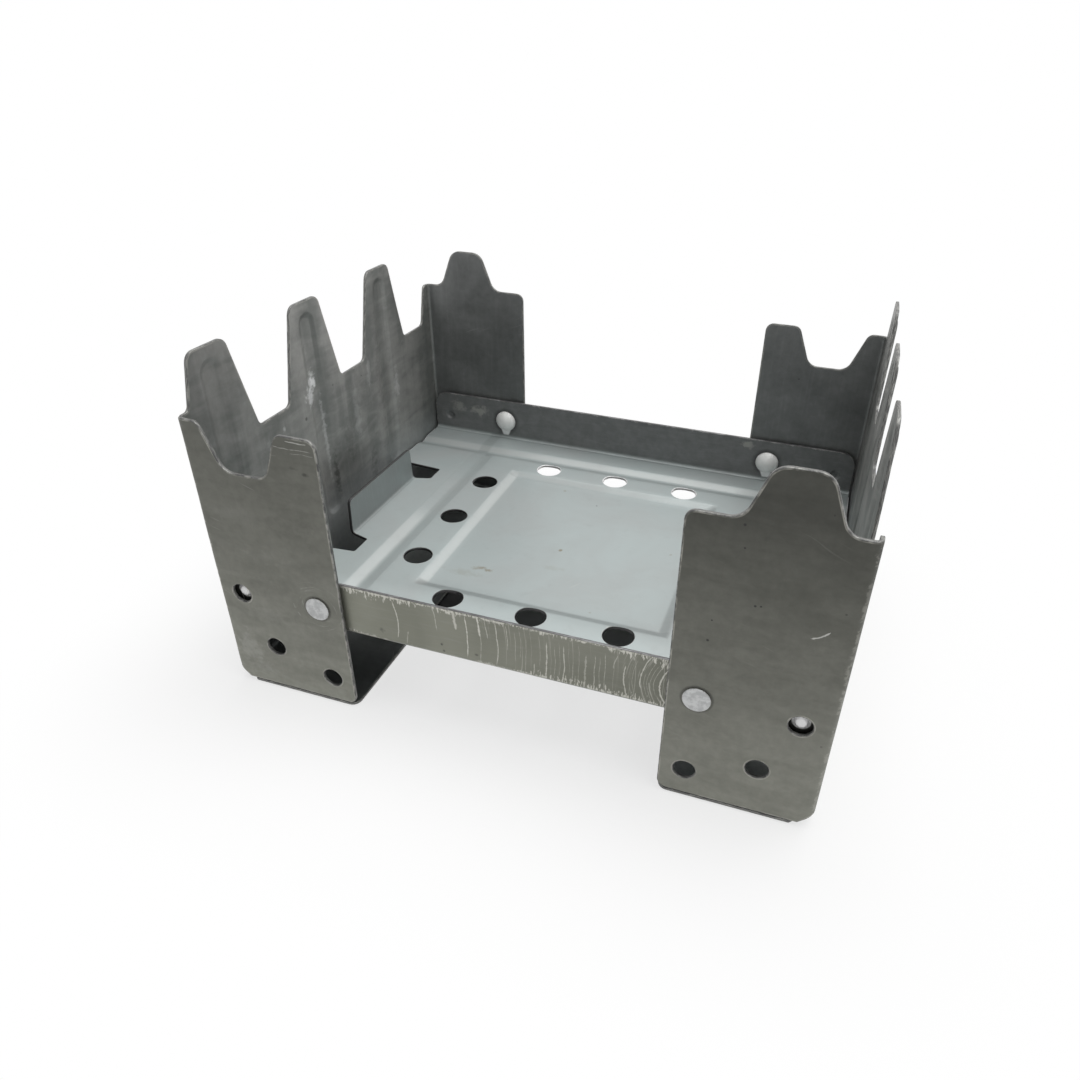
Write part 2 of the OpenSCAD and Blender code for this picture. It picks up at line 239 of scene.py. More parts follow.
def cut_blank(outline, holes, press_lines):
    """Triangulates a blank. Returns its points, triangles, rim loops, ways inwards and rim distances."""
    loops = [spaced(outline, RIM_STEP)] + [ring(u, v, r, HOLE_POINTS) for u, v, r in holes]
    inwards = [inward(loop, i > 0) for i, loop in enumerate(loops)]
    support, *beside = (
        np.concatenate([loop + inset * lead for loop, lead in zip(loops, inwards)])
        for inset in (0.2, 0.6, 1.1))
    low, high = loops[0].min(0), loops[0].max(0)
    us, vs = (np.arange(low[k] + GRID / 2, high[k], GRID) for k in (0, 1))
    field = np.stack(np.meshgrid(us, vs), -1).reshape(-1, 2)
    kept = list(support)
    # Each set of points has its least gap, and its least distance from a rim
    for points, gap, margin in (
            (press_lines, 0.14, 0.32), (np.concatenate(beside), 0.4, 0.5), (field, GRID * 0.6, 0.55)):
        points = points[in_sheet(points, loops[0], holes)]
        points = points[rim_distance(points, loops) > margin]
        kept = apart(kept, points, gap)
    ends = np.cumsum([len(loop) for loop in loops])
    spans = [(end - len(loop), end) for loop, end in zip(loops, ends)]
    edges = [(i, i + 1 if i + 1 < end else start) for start, end in spans for i in range(start, end)]
    corners = [Vector(p) for p in np.concatenate((*loops, np.array(kept)))]
    made = delaunay_2d_cdt(corners, edges, [], 1, 1e-5)
    points, triangles = np.array([tuple(p) for p in made[0]]), np.array(made[2])
    solid = in_sheet(points[triangles].mean(1), loops[0], holes, 0.98)
    place = {source: i for i, sources in enumerate(made[3]) for source in sources}
    rim_loops = [[place[i] for i in range(start, end)] for start, end in spans]
    return points, triangles[solid], rim_loops, inwards, rim_distance(points, loops)


# Steps of the sheared rim from the punched side to the other: inset, depth below the face, which face
RIM_STEPS = (
    (0.11, 0.0, 1), (0.05, 0.018, 1), (0.015, 0.055, 1), (0.0, 0.12, 1),
    (0.0, 0.035, -1), (0.02, 0.008, -1), (0.04, 0.0, -1),
)


def form_sheet(name, blank, fold, turn=0.0):
    """Makes a sheet of even thickness from its blank, with sheared rims, folded into place."""
    points, triangles, rim_loops, inwards, edge = blank
    count = len(points)
    top, under = points.copy(), points.copy()
    for loop, lead in zip(rim_loops, inwards):
        top[loop] += lead * RIM_STEPS[0][0]
        under[loop] += lead * RIM_STEPS[-1][0]
    flat = [top, under]
    lift = [np.full(count, SHEET / 2), np.full(count, -SHEET / 2)]
    rim = [edge, edge]
    faces = [tuple(t) for t in triangles] + [tuple(t[::-1] + count) for t in triangles]
    start = 2 * count
    for loop, lead in zip(rim_loops, inwards):
        n = len(loop)
        rows = [list(loop)]
        for inset, depth, side in RIM_STEPS[1:-1]:
            flat.append(points[loop] + lead * inset)
            lift.append(np.full(n, side * (SHEET / 2 - depth)))
            rim.append(np.zeros(n))
            rows.append(list(range(start, start + n)))
            start += n
        rows.append([i + count for i in loop])
        for upper, lower in zip(rows, rows[1:]):
            for k in range(n):
                j = (k + 1) % n
                faces.append((upper[k], lower[k], lower[j], upper[j]))
    flat, lift, rim = np.concatenate(flat), np.concatenate(lift), np.concatenate(rim)
    placed = fold(flat[:, 0], flat[:, 1], lift)
    if turn:
        c, s = math.cos(turn), math.sin(turn)
        placed = placed @ np.array(((c, s, 0), (-s, c, 0), (0, 0, 1)))
    mesh = new_mesh(name, placed, faces)
    store(mesh, "blank", "FLOAT_VECTOR", "vector", np.stack((flat[:, 0], flat[:, 1], np.sign(lift)), 1))
    store(mesh, "rim", "FLOAT", "value", rim)
    return finish_mesh(name, mesh)


def new_mesh(name, placed, faces):
    mesh = bpy.data.meshes.new(name)
    mesh.from_pydata((placed * MM).tolist(), [], faces)
    return mesh


def store(mesh, name, kind, key, values):
    mesh.attributes.new(name, kind, "POINT").data.foreach_set(key, np.asarray(values, np.float32).ravel())


def finish_mesh(name, mesh):
    """Turns the faces outwards, smooths their shading and adds the piece to the scene."""
    work = bmesh.new()
    work.from_mesh(mesh)
    bmesh.ops.recalc_face_normals(work, faces=work.faces)
    work.to_mesh(mesh)
    work.free()
    mesh.shade_smooth()
    piece = bpy.data.objects.new(name, mesh)
    bpy.context.scene.collection.objects.link(piece)
    return piece


def bend(run, lift):
    """Carries a point past a bend: run from its start along the sheet, lift on its outer side."""
    angle = np.clip(run / MID, 0, math.pi / 2)
    along = (MID + lift) * np.sin(angle) + np.minimum(run, 0)
    return along, (MID + lift) * np.cos(angle) - np.maximum(run - ARC, 0)


def bend_steps():
    """Distances from the start of a bend at which the blank has rows of points."""
    return [ARC * k / 6 for k in range(-1, 8)]


def eased(t, soft=0.22):
    """Goes from 0 to 1 with softened ends."""
    low = np.clip((t + soft) / (2 * soft), 0, 1)
    high = np.clip((1 + soft - t) / (2 * soft), 0, 1)
    share = np.where(t < soft, low * low * soft, np.clip(t, 0, 1))
    return np.where(t > 1 - soft, 1 - high * high * soft, share)


def eased_steps(soft=0.22):
    """Places along such a slope at which the blank has rows of points."""
    return (-soft, -soft / 2, 0.0, soft / 2, soft, 0.5, 1 - soft, 1 - soft / 2, 1.0, 1 + soft / 2, 1 + soft)


def ripple(u, v, seed, size, height):
    """Slight unevenness of the sheet, at most height deep."""
    return np.array([noise.noise(Vector((a / size, b / size, seed))) for a, b in zip(u, v)]) * height


# Shells

def flap_u(dx):
    """Place on the blank of a point of a flap that lies dx in from the wall's outer face."""
    if dx >= BEND:
        return WALL_BEND + ARC + dx - BEND
    return WALL_BEND + MID * math.acos(1 - dx / BEND)


def tooth_y(i):
    return -HALF_W + TOOTH_START + i * TOOTH_PITCH


def tooth_half(z):
    return TOOTH_MID_W / 2 - TOOTH_LEAN * (z - SEAM_Z)


def flap_tooth_half(z):
    return FLAP_TOOTH_HALF + FLAP_TOOTH_LEAN * (FLAP_TIP_Z - z)


def flap_notch_half(z):
    return flap_tooth_half(2 * SEAM_Z - z) + FLAP_NOTCH_GAP


def tooth_side(i, way, z, r):
    """Corner at height z on one side of a wall tooth."""
    return (tooth_y(i) + way * tooth_half(z), z, r)


def notch_side(way, z, r):
    """Corner at height z on one side of the front flap's notch."""
    return (-flap_u(FLAP_TOOTH_IN + way * flap_notch_half(z)), z, r)


def flap_tooth_side(way, z, r):
    """Corner at height z on one side of the rear flap's tooth."""
    return (flap_u(FLAP_TOOTH_IN + way * flap_tooth_half(z)), z, r)


def shell_outline():
    end_u = flap_u(FLAP_W)
    top = [(-end_u, FLAP_FOOT_Z, 1.5), (-end_u, SHOULDER_Z, 1.5)]
    top += [notch_side(1, SHOULDER_Z, 1.5), notch_side(1, FLAP_NOTCH_Z, 2.4)]
    top += [notch_side(-1, FLAP_NOTCH_Z, 2.4), notch_side(-1, SHOULDER_Z, 1.5)]
    top.append(tooth_side(0, -1, SHOULDER_Z, 1.0))
    for i in range(TEETH):
        if i:
            top.append(tooth_side(i, -1, NOTCH_Z, 1.3))
        top += [tooth_side(i, -1, TIP_Z, 1.8), tooth_side(i, 1, TIP_Z, 1.8), tooth_side(i, 1, NOTCH_Z, 1.3)]
    top += [tooth_side(TEETH, -1, NOTCH_Z, 1.3), tooth_side(TEETH, -1, SHOULDER_Z, 1.0)]
    top += [flap_tooth_side(-1, SHOULDER_Z, 2.4), flap_tooth_side(-1, FLAP_TIP_Z, 2.6)]
    top += [flap_tooth_side(1, FLAP_TIP_Z, 2.6), flap_tooth_side(1, SHOULDER_Z, 2.4)]
    top += [(end_u, SHOULDER_Z, 1.5), (end_u, FLAP_FOOT_Z, 1.5)]
    foot_v = BEND - ARC
    corner = [(flap_u(dx), FLAP_FOOT_Z + CORNER_CUT - dx, 0) for dx in (2.1, 1.1, 0.8, 0.4, 0.1)]
    corner += [(WALL_BEND, CORNER_CUT + SHEET, 0), (HALF_W - CORNER_CUT, CORNER_CUT + SHEET, 0.3)]
    corner += [(HALF_W - CORNER_CUT, foot_v, 0), (HALF_W, foot_v - CORNER_CUT, 0.5)]
    corner.append((HALF_W, foot_v - FLAP_W + BEND, 1.5))
    return rounded(top + corner + [(-u, v, r) for u, v, r in corner[::-1]])


def shell_holes():
    holes = []
    for side in (-1, 1):
        holes.append((side * flap_u(PIVOT_IN), PIVOT_Z, HOLE_R))
        for fold in DETENT_FOLDS:
            a = math.radians(PIP_ANGLE + fold)
            dx = PIVOT_IN - REACH * math.cos(a)
            holes.append((side * flap_u(dx), PIVOT_Z - REACH * math.sin(a), DETENT_R))
    return holes


def rib_place(u, v):
    """Distance from the middle line of the nearest rib."""
    past = v - np.clip(v, RIB_LOW, RIB_HIGH)
    return np.min([np.hypot(u - tooth_y(i), past) for i in range(TEETH)], axis=0)


def shell_press_lines():
    lines = []
    rib_run = np.arange(RIB_LOW, RIB_HIGH + 0.01, 0.9)
    flap_run = np.arange(1.6, SHOULDER_Z, ROW_STEP)
    foot_run = np.arange(-HALF_W + 2.5, HALF_W - 2.5, ROW_STEP)
    a = np.linspace(0, math.pi, 13)
    for i in range(TEETH):
        y = tooth_y(i)
        for t in eased_steps():
            r = RIB_W / 2 - t * RIB_SLOPE
            lines += [column(y - r, rib_run), column(y + r, rib_run)]
            lines.append(np.stack((y + r * np.cos(a), RIB_HIGH + r * np.sin(a)), 1))
            lines.append(np.stack((y + r * np.cos(a), RIB_LOW - r * np.sin(a)), 1))
    for off in bend_steps():
        lines += [column(side * (WALL_BEND + off), flap_run) for side in (-1, 1)]
        lines.append(row(foot_run, BEND - off))
    return np.concatenate(lines)


def fold_shell(u, v, lift):
    """Folds the left shell's blank: flaps round the wall's ends, foot plate under it."""
    rib = rib_place(u, v)
    clear = np.clip(rib - RIB_W / 2, 0, 4) / 4
    pivot = np.hypot(np.abs(u) - flap_u(PIVOT_IN), v - PIVOT_Z)
    calm = np.clip((pivot - 16) / 8, 0, 1) * np.clip((v - 6) / 6, 0, 1) * clear
    uneven = (ripple(u, v, 3.1, 17, 0.10) + ripple(u, v, 7.7, 7, 0.03)) * calm - 0.06 * calm
    lift = lift + RIB_DEPTH * eased((RIB_W / 2 - rib) / RIB_SLOPE) + uneven
    foot = (v < BEND) & ((np.abs(u) < HALF_W - CORNER_CUT + 0.2) | (v < 0))
    along, drop = bend(np.where(foot, BEND - v, np.abs(u) - WALL_BEND), lift)
    y = np.where(foot, u, np.sign(u) * (WALL_BEND + along))
    return np.stack((-(WALL_X - BEND + drop), y, np.where(foot, BEND - along, v)), 1)


# Tray

def flange_v(z):
    """Place on the blank of a point of the rear flange at height z."""
    return FLANGE_BEND + ARC + z - FLOOR_BEND_Z


def tray_outline():
    quarter = [
        (LIP_BEND + ARC + LIP_TOP_Z - FLOOR_BEND_Z, LIP_W / 2 - 0.45, 1.0),
        (LIP_BEND, LIP_W / 2, 0),
        (LIP_X - 4.0, LIP_W / 2 + 0.9, 0.35),
        (LIP_X - 4.0, LIP_W / 2 + 5.2, 0.35),
        (TRAY_X, LIP_W / 2 + 6.02, 0.2),
        (TRAY_X, flange_v(FLANGE_Z), 3.0),
    ]
    outline = []
    for sx, sy in ((1, 1), (-1, 1), (-1, -1), (1, -1)):
        outline += [(sx * u, sy * v, r) for u, v, r in quarter[::sx * sy]]
    return rounded(outline)


def tray_holes():
    holes = []
    for side in (-1, 1):
        holes += [(side * AIR_X, AIR_BACK - AIR_PITCH + i * AIR_PITCH, AIR_R) for i in range(3)]
    for side in (-1, 1):
        holes += [(-AIR_PITCH + i * AIR_PITCH, AIR_BACK + side * AIR_Y, AIR_R) for i in range(3)]
    return holes + [(sx * PIVOT_X, sy * flange_v(PIVOT_Z), HOLE_R) for sx in (-1, 1) for sy in (-1, 1)]


def pip_places():
    a = math.radians(PIP_ANGLE)
    u, v = PIVOT_X + REACH * math.cos(a), flange_v(PIVOT_Z - REACH * math.sin(a))
    return [(sx * u, sy * v) for sx in (-1, 1) for sy in (-1, 1)]


def tray_press_lines():
    lines = []
    steps = [t * GROOVE_SLOPE for t in eased_steps(GROOVE_SOFT)]
    across = [side * (GROOVE_W / 2 - step) for side in (-1, 1) for step in steps] + [0]
    long_run = np.arange(-TRAY_X + 0.4, TRAY_X, ROW_STEP)
    short_run = np.arange(-LONG_GROOVE_Y, LONG_GROOVE_Y + 0.1, ROW_STEP)
    lip_run = np.arange(-LIP_W / 2 + 0.4, LIP_W / 2, ROW_STEP)
    for side in (-1, 1):
        for d in across:
            lines.append(row(long_run, side * LONG_GROOVE_Y + d))
            lines.append(column(side * SHORT_GROOVE_X + d, short_run))
    for t in eased_steps(PANEL_SOFT):
        h = PANEL_W / 2 - t * PANEL_SLOPE
        run = np.linspace(-h, h, int(2 * h / ROW_STEP) + 1)
        for side in (-1, 1):
            lines += [row(run, side * h), column(side * h, run)]
    for off in bend_steps():
        for side in (-1, 1):
            lines.append(row(long_run, side * (FLANGE_BEND + off)))
            lines.append(column(side * (LIP_BEND + off), lip_run))
    for u, v in pip_places():
        lines += [ring(u, v, r, 26) for r in (0.4, 0.55, 0.65, 0.75, 0.85, 0.95, 1.05, 1.15, 1.25)]
        lines.append(np.array([(u, v)]))
    return np.concatenate(lines)


def fold_tray(u, v, lift):
    """Presses the floor and bends up the tray's flanges and lips."""
    wide, deep = np.abs(u), np.abs(v)
    long_groove = eased((GROOVE_W / 2 - np.abs(deep - LONG_GROOVE_Y)) / GROOVE_SLOPE, GROOVE_SOFT)
    short_groove = eased((GROOVE_W / 2 - np.abs(wide - SHORT_GROOVE_X)) / GROOVE_SLOPE, GROOVE_SOFT)
    short_groove *= np.clip((LONG_GROOVE_Y + 0.4 - deep) / 0.8, 0, 1)
    panel = eased((PANEL_W / 2 - np.maximum(wide, deep)) / PANEL_SLOPE, PANEL_SOFT)
    pressed = np.maximum(GROOVE_DEPTH * np.maximum(long_groove, short_groove), PANEL_DEPTH * panel)
    pips = np.zeros(len(u))
    for pu, pv in pip_places():
        pips = np.maximum(pips, PIP_H * eased((PIP_R - np.hypot(u - pu, v - pv)) / PIP_SLOPE, 0.3))
    calm = np.clip((FLANGE_Y - 1 - deep) / 6, 0, 1) * np.clip((LIP_X - 1 - wide) / 6, 0, 1)
    uneven = (ripple(u, v, 5.3, 19, 0.09) + ripple(u, v, 9.1, 8, 0.02)) * calm
    lip = (wide > LIP_BEND) & (deep < LIP_W / 2 + 0.4)
    along, drop = bend(np.where(lip, wide - LIP_BEND, deep - FLANGE_BEND), pressed + pips - lift + uneven)
    x = np.where(lip, np.sign(u) * (LIP_BEND + along), u)
    y = np.where(lip, v, np.sign(v) * (FLANGE_BEND + along))
    return np.stack((x, y, FLOOR_BEND_Z - drop), 1)


# Rivets

def rivet_profile():
    """Radius and place along the rivet, from the middle of the outer head to the dome's top."""
    ball_r = (DOME_R ** 2 + DOME_H ** 2) / (2 * DOME_H)
    grip = 2 * SHEET + 0.5
    profile = [(0.0, HEAD_H - 0.02), (1.2, HEAD_H - 0.01), (1.7, HEAD_H), (1.84, 0.34), (1.93, 0.3)]
    profile += [(1.985, 0.23), (HEAD_R, 0.16), (1.98, 0.1), (1.92, 0.06), (1.8, 0.05)]
    profile += [(SHANK_R, 0.05), (SHANK_R, -grip)]
    profile += [(DOME_R - 0.12, -grip), (DOME_R - 0.03, -grip - 0.05)]
    for k in range(1, 9):
        a = math.acos((ball_r - DOME_H) / ball_r) * (1 - k / 8)
        profile.append((ball_r * math.sin(a) * 0.985, -grip - (ball_r * math.cos(a) - (ball_r - DOME_H))))
    return profile


def form_rivet(name, side, end):
    """Turns the rivet's profile, then sets it in its hole, head outwards."""
    profile, n = rivet_profile(), RIVET_SIDES
    counts = [1 if r < 1e-6 else n for r, _ in profile]
    starts = np.cumsum([0] + counts)
    verts = []
    for (r, w), count in zip(profile, counts):
        turns = [2 * math.pi * k / n for k in range(count)]
        verts += [(r * math.cos(a), r * math.sin(a), w) for a in turns]
    faces = []
    for i, (a, b) in enumerate(zip(starts, starts[1:-1])):
        for k in range(n):
            j = (k + 1) % n
            if counts[i] == 1:
                faces.append((a, b + k, b + j))
            elif counts[i + 1] == 1:
                faces.append((a + k, a + j, b))
            else:
                faces.append((a + k, b + k, b + j, a + j))
    x, z, out = np.array(verts).T
    placed = np.stack((side * PIVOT_X + x, end * (HALF_W + out), PIVOT_Z + z), 1)
    return finish_mesh(name, new_mesh(name, placed, faces))


# Shader nodes

class Wire:
    """Output of a shader node. Sums and products of wires add the nodes that work them out."""

    def __init__(self, socket):
        self.socket = socket
        self.tree = socket.id_data

    def __add__(self, other):
        return calc("ADD", self, other)

    def __sub__(self, other):
        return calc("SUBTRACT", self, other)

    def __rsub__(self, other):
        return calc("SUBTRACT", other, self)

    def __mul__(self, other):
        return calc("MULTIPLY", self, other)

    def __rtruediv__(self, other):
        return calc("DIVIDE", other, self)

    def __abs__(self):
        return calc("ABSOLUTE", self)


class Outputs:
    """The wires that leave a shader node, by name or number."""

    def __init__(self, node):
        self.node = node

    def __getitem__(self, key):
        return Wire(self.node.outputs[key])


def feed(node, inputs):
    """Sets a node's inputs to values, or links them to wires."""
    for key, value in inputs.items():
        if isinstance(value, Wire):
            node.id_data.links.new(value.socket, node.inputs[key])
        else:
            node.inputs[key].default_value = value


def add(kind, inputs=(), tree=None, **settings):
    """Adds a shader node fed by values and wires, by default to the tree of those wires."""
    inputs = dict(inputs)
    if tree is None:
        tree = next(value.tree for value in inputs.values() if isinstance(value, Wire))
    node = tree.nodes.new(kind)
    for key, value in settings.items():
        setattr(node, key, value)
    feed(node, inputs)
    return Outputs(node)


def calc(operation, *values):
    return add("ShaderNodeMath", enumerate(values), operation=operation)[0]


def most_of(values):
    """Greatest of the values, or 0. Each is joined as it is made, which keeps the renderer's work small."""
    values = iter(values)
    total = next(values, 0.0)
    for value in values:
        total = calc("MAXIMUM", total, value)
    return total


def most(*values):
    return most_of(values)


def vector(operation, a, b):
    return add("ShaderNodeVectorMath", {0: a, 1: b}, operation=operation)[0]


def length(place):
    return add("ShaderNodeVectorMath", {0: place}, operation="LENGTH")["Value"]


def distance_to(place, point):
    return length(vector("SUBTRACT", place, point))


def triple(x, y, z=0.0):
    return add("ShaderNodeCombineXYZ", {0: x, 1: y, 2: z})[0]


def split(place):
    return add("ShaderNodeSeparateXYZ", {0: place})


def turned(place, angle):
    return add("ShaderNodeVectorRotate", {"Vector": place, "Angle": angle}, rotation_type="Z_AXIS")[0]


def ramp(value, low, high, to_low=0.0, to_high=1.0, smooth=True):
    """Maps value from low..high to to_low..to_high."""
    kind = "SMOOTHSTEP" if smooth else "LINEAR"
    feeds = {"Value": value, "From Min": low, "From Max": high, "To Min": to_low, "To Max": to_high}
    return add("ShaderNodeMapRange", feeds, interpolation_type=kind, clamp=True)[0]


def band(value, start, full, fade, end):
    """1 from full to fade, and 0 up to start and from end on."""
    return ramp(value, start, full) * ramp(value, end, fade)


def chosen(chance, share, soft=0.8, more=0.1):
    """1 where chance is high, over about the given share of the surface."""
    rest = 1.0 - share
    return ramp(chance, rest * soft, rest + more)


def blend(share, a, b):
    return add("ShaderNodeMix", {0: share, 6: a, 7: b}, data_type="RGBA")[2]


def shade(value, low, high, a, b):
    """Goes from colour a to colour b as value goes from low to high."""
    return blend(ramp(value, low, high), a, b)


def tone(colour, factor):
    """Colour made lighter or darker by a factor."""
    return vector("MULTIPLY", colour, triple(factor, factor, factor))


def cloud(place, scale, detail=2.0, rough=0.5, distortion=0.0):
    feeds = {"Vector": place, "Scale": scale, "Detail": detail, "Roughness": rough, "Distortion": distortion}
    return add("ShaderNodeTexNoise", feeds)[0]


def read(tree, name):
    return add("ShaderNodeAttribute", tree=tree, attribute_name=name)


def effect(name, **defaults):
    """Makes a node group of a function from its inputs to its outputs. Calls of it then place the group."""
    tree = bpy.data.node_groups.new(name, "ShaderNodeTree")
    labels = {key: key.replace("_", " ").title() for key in defaults}
    for key, default in defaults.items():
        kind = "NodeSocketVector" if isinstance(default, tuple) else "NodeSocketFloat"
        made = tree.interface.new_socket(labels[key], in_out="INPUT", socket_type=kind)
        made.default_value = default

    def use(**inputs):
        return add("ShaderNodeGroup", {labels[key]: value for key, value in inputs.items()}, node_tree=tree)

    def fill(make):
        given = Outputs(tree.nodes.new("NodeGroupInput"))
        results = make(**{key: given[label] for key, label in labels.items()})
        for label in results:
            tree.interface.new_socket(label, in_out="OUTPUT", socket_type="NodeSocketFloat")
        feed(tree.nodes.new("NodeGroupOutput"), results)
        return use

    return fill


# Effects that several finishes share

ORIGIN = (0, 0, 0)


@effect("rolled grain", place=ORIGIN, across=2.6, along=0.1, cloud_size=9.0)
def rolled_grain(place, across, along, cloud_size):
    """Fine streaks of the rolled sheet, and the soft clouds of its zinc."""
    fine = vector("MULTIPLY", place, triple(across, along, 1.0))
    wide = vector("MULTIPLY", fine, (0.12, 0.4, 1.0))
    scale = 1.0 / cloud_size
    return {
        "Streaks": cloud(fine, 1.0, 3.0, 0.6),
        "Clouds": cloud(place, scale, 3.0, 0.55, 0.6),
        "Mottle": cloud(place, scale * 7.0, 4.0, 0.65, 0.2),
        "Bands": cloud(wide, 1.0, 2.0, 0.5, 0.3),
    }


@effect("edge wear", place=ORIGIN, width=0.3, share=0.5, chips=1.1)
def edge_wear(place, width, share, chips):
    """Cut rim of the sheet, and the plating rubbed bright beside it."""
    distance = read(place.tree, "rim")["Fac"]
    patchy = cloud(place, 0.35, 3.0, 0.6)
    chipped = cloud(place, chips, 3.0, 0.7)
    shown = chosen(patchy, share) * ramp(chipped, 0.42, 0.56)
    reach = width * ramp(chipped, 0.45, 0.75, 0.5, 2.4)
    return {
        "Cut": ramp(distance, 0.06, 0.01),
        "Worn": ramp(distance, reach, reach * 0.35) * shown,
        "Line": band(distance, 0.05, 0.16, 0.2, 0.34) * ramp(patchy, 0.38, 0.6),
    }


@effect("bend wear", place=ORIGIN, from_bend=0.0, width=0.35, share=0.5)
def bend_wear(place, from_bend, width, share):
    """Bright spots rubbed along the outside of a bend."""
    chipped = cloud(place, 0.9, 4.0, 0.7)
    patchy = cloud(place, 0.16, 2.0)
    reach = width * ramp(chipped, 0.4, 0.7, 0.3, 2.2)
    near = ramp(abs(from_bend), reach, reach * 0.3)
    return {"Worn": near * chosen(patchy, share) * ramp(chipped, 0.44, 0.56)}


@effect("swing scratches", place=ORIGIN, inner=2.0, outer=30.0, lines=1.6, share=0.4, seed=0.0)
def swing_scratches(place, inner, outer, lines, share, seed):
    """Fine scratches along arcs round a pivot, where folding drags one sheet over another."""
    x, y, _ = split(place)
    radius = calc("SQRT", x * x + y * y)
    angle = calc("ARCTAN2", y, x)
    spun = triple(radius * lines, angle * 0.8, seed)
    thin = ramp(cloud(spun, 1.0, 2.0, 0.75), 0.58, 0.70)
    part = triple(radius * 0.3, angle * 3.0, seed + 4.0)
    patch = chosen(cloud(part, 1.0, 3.0, 0.6), share, 0.75, 0.08)
    return {"Scratch": thin * patch * band(radius, inner, inner + 0.5, outer, outer + 1.0)}


@effect("drawn scratch", distance=0.0, height=0.0, radius=10.0, low=0.0, high=5.0, width=0.15, ragged=0.5)
def drawn_scratch(distance, height, radius, low, high, width, ragged):
    """One scratch where distance is radius, from low to high in height."""
    off = abs(distance - radius)
    part = ramp(height, low, high, smooth=False)
    taper = ramp(part * (1.0 - part) * 4.0, 0.0, 0.5)
    half = width * ramp(ragged, 0.3, 0.65, 0.4, 1.3) * taper
    return {"Scratch": ramp(off, half, half * 0.3)}


@effect("edge ticks", place=ORIGIN, distance=0.0, reach=1.0, share=0.5)
def edge_ticks(place, distance, reach, share):
    """Short nicks that run from a rubbed edge into the face, each as long as chance has it."""
    chance = cloud(vector("MULTIPLY", place, (2.6, 0.5, 1.0)), 1.0, 2.0, 0.75)
    patchy = cloud(place, 0.28, 2.0, 0.6)
    run = reach * ramp(chance, 0.44, 0.66) * ramp(patchy, 0.35, 0.65, 0.45, 1.3) * share
    return {"Tick": ramp(distance, run, run * 0.6) * ramp(distance, 0.04, 0.1)}


@effect("stray scratches", place=ORIGIN, turn=0.0, spacing=2.0, share=0.3)
def stray_scratches(place, turn, spacing, share):
    """Thin scratches that run about one way, with gaps."""
    wander = add("ShaderNodeTexNoise", {"Vector": place, "Scale": 0.12, "Detail": 1.0})["Color"]
    bent = vector("ADD", place, vector("MULTIPLY", wander, (2.2, 2.2, 0.0)))
    drawn = vector("MULTIPLY", turned(bent, turn), triple(6.0 / spacing, 0.09, 1.0))
    thin = ramp(cloud(drawn, 1.0, 1.0, 0.6), 0.70, 0.745)
    return {"Scratch": thin * chosen(cloud(place, 0.11, 3.0, 0.6), share, 0.8, 0.05)}


@effect("specks", place=ORIGIN, spacing=4.0, size=0.08, share=0.4)
def specks(place, spacing, size, share):
    """Small dark pits and grains of dirt."""
    feeds = {"Vector": place, "Scale": 1.0 / spacing, "Randomness": 1.0}
    cells = add("ShaderNodeTexVoronoi", feeds, feature="F1")
    chance = add("ShaderNodeSeparateColor", {0: cells["Color"]})
    shown = ramp(chance[0], 1.0 - share, 1.01 - share)
    radius = size * ramp(chance[1], 0.0, 1.0, 0.5, 1.7, smooth=False)
    return {"Speck": ramp(cells["Distance"], radius * 1.3, radius * 0.5) * shown}


@effect("smudge", place=ORIGIN, centre=ORIGIN, size=(1, 1, 1), ragged=0.5)
def smudge(place, centre, size, ragged):
    """One soft rubbed or dirty patch, ragged at its border."""
    off = vector("DIVIDE", vector("SUBTRACT", place, centre), size)
    return {"Smudge": ramp(length(off) + ramp(ragged, 0.25, 0.75, -0.55, 0.55), 1.2, 0.1)}


# Marks, placed as the photograph shows them, each with its strength last

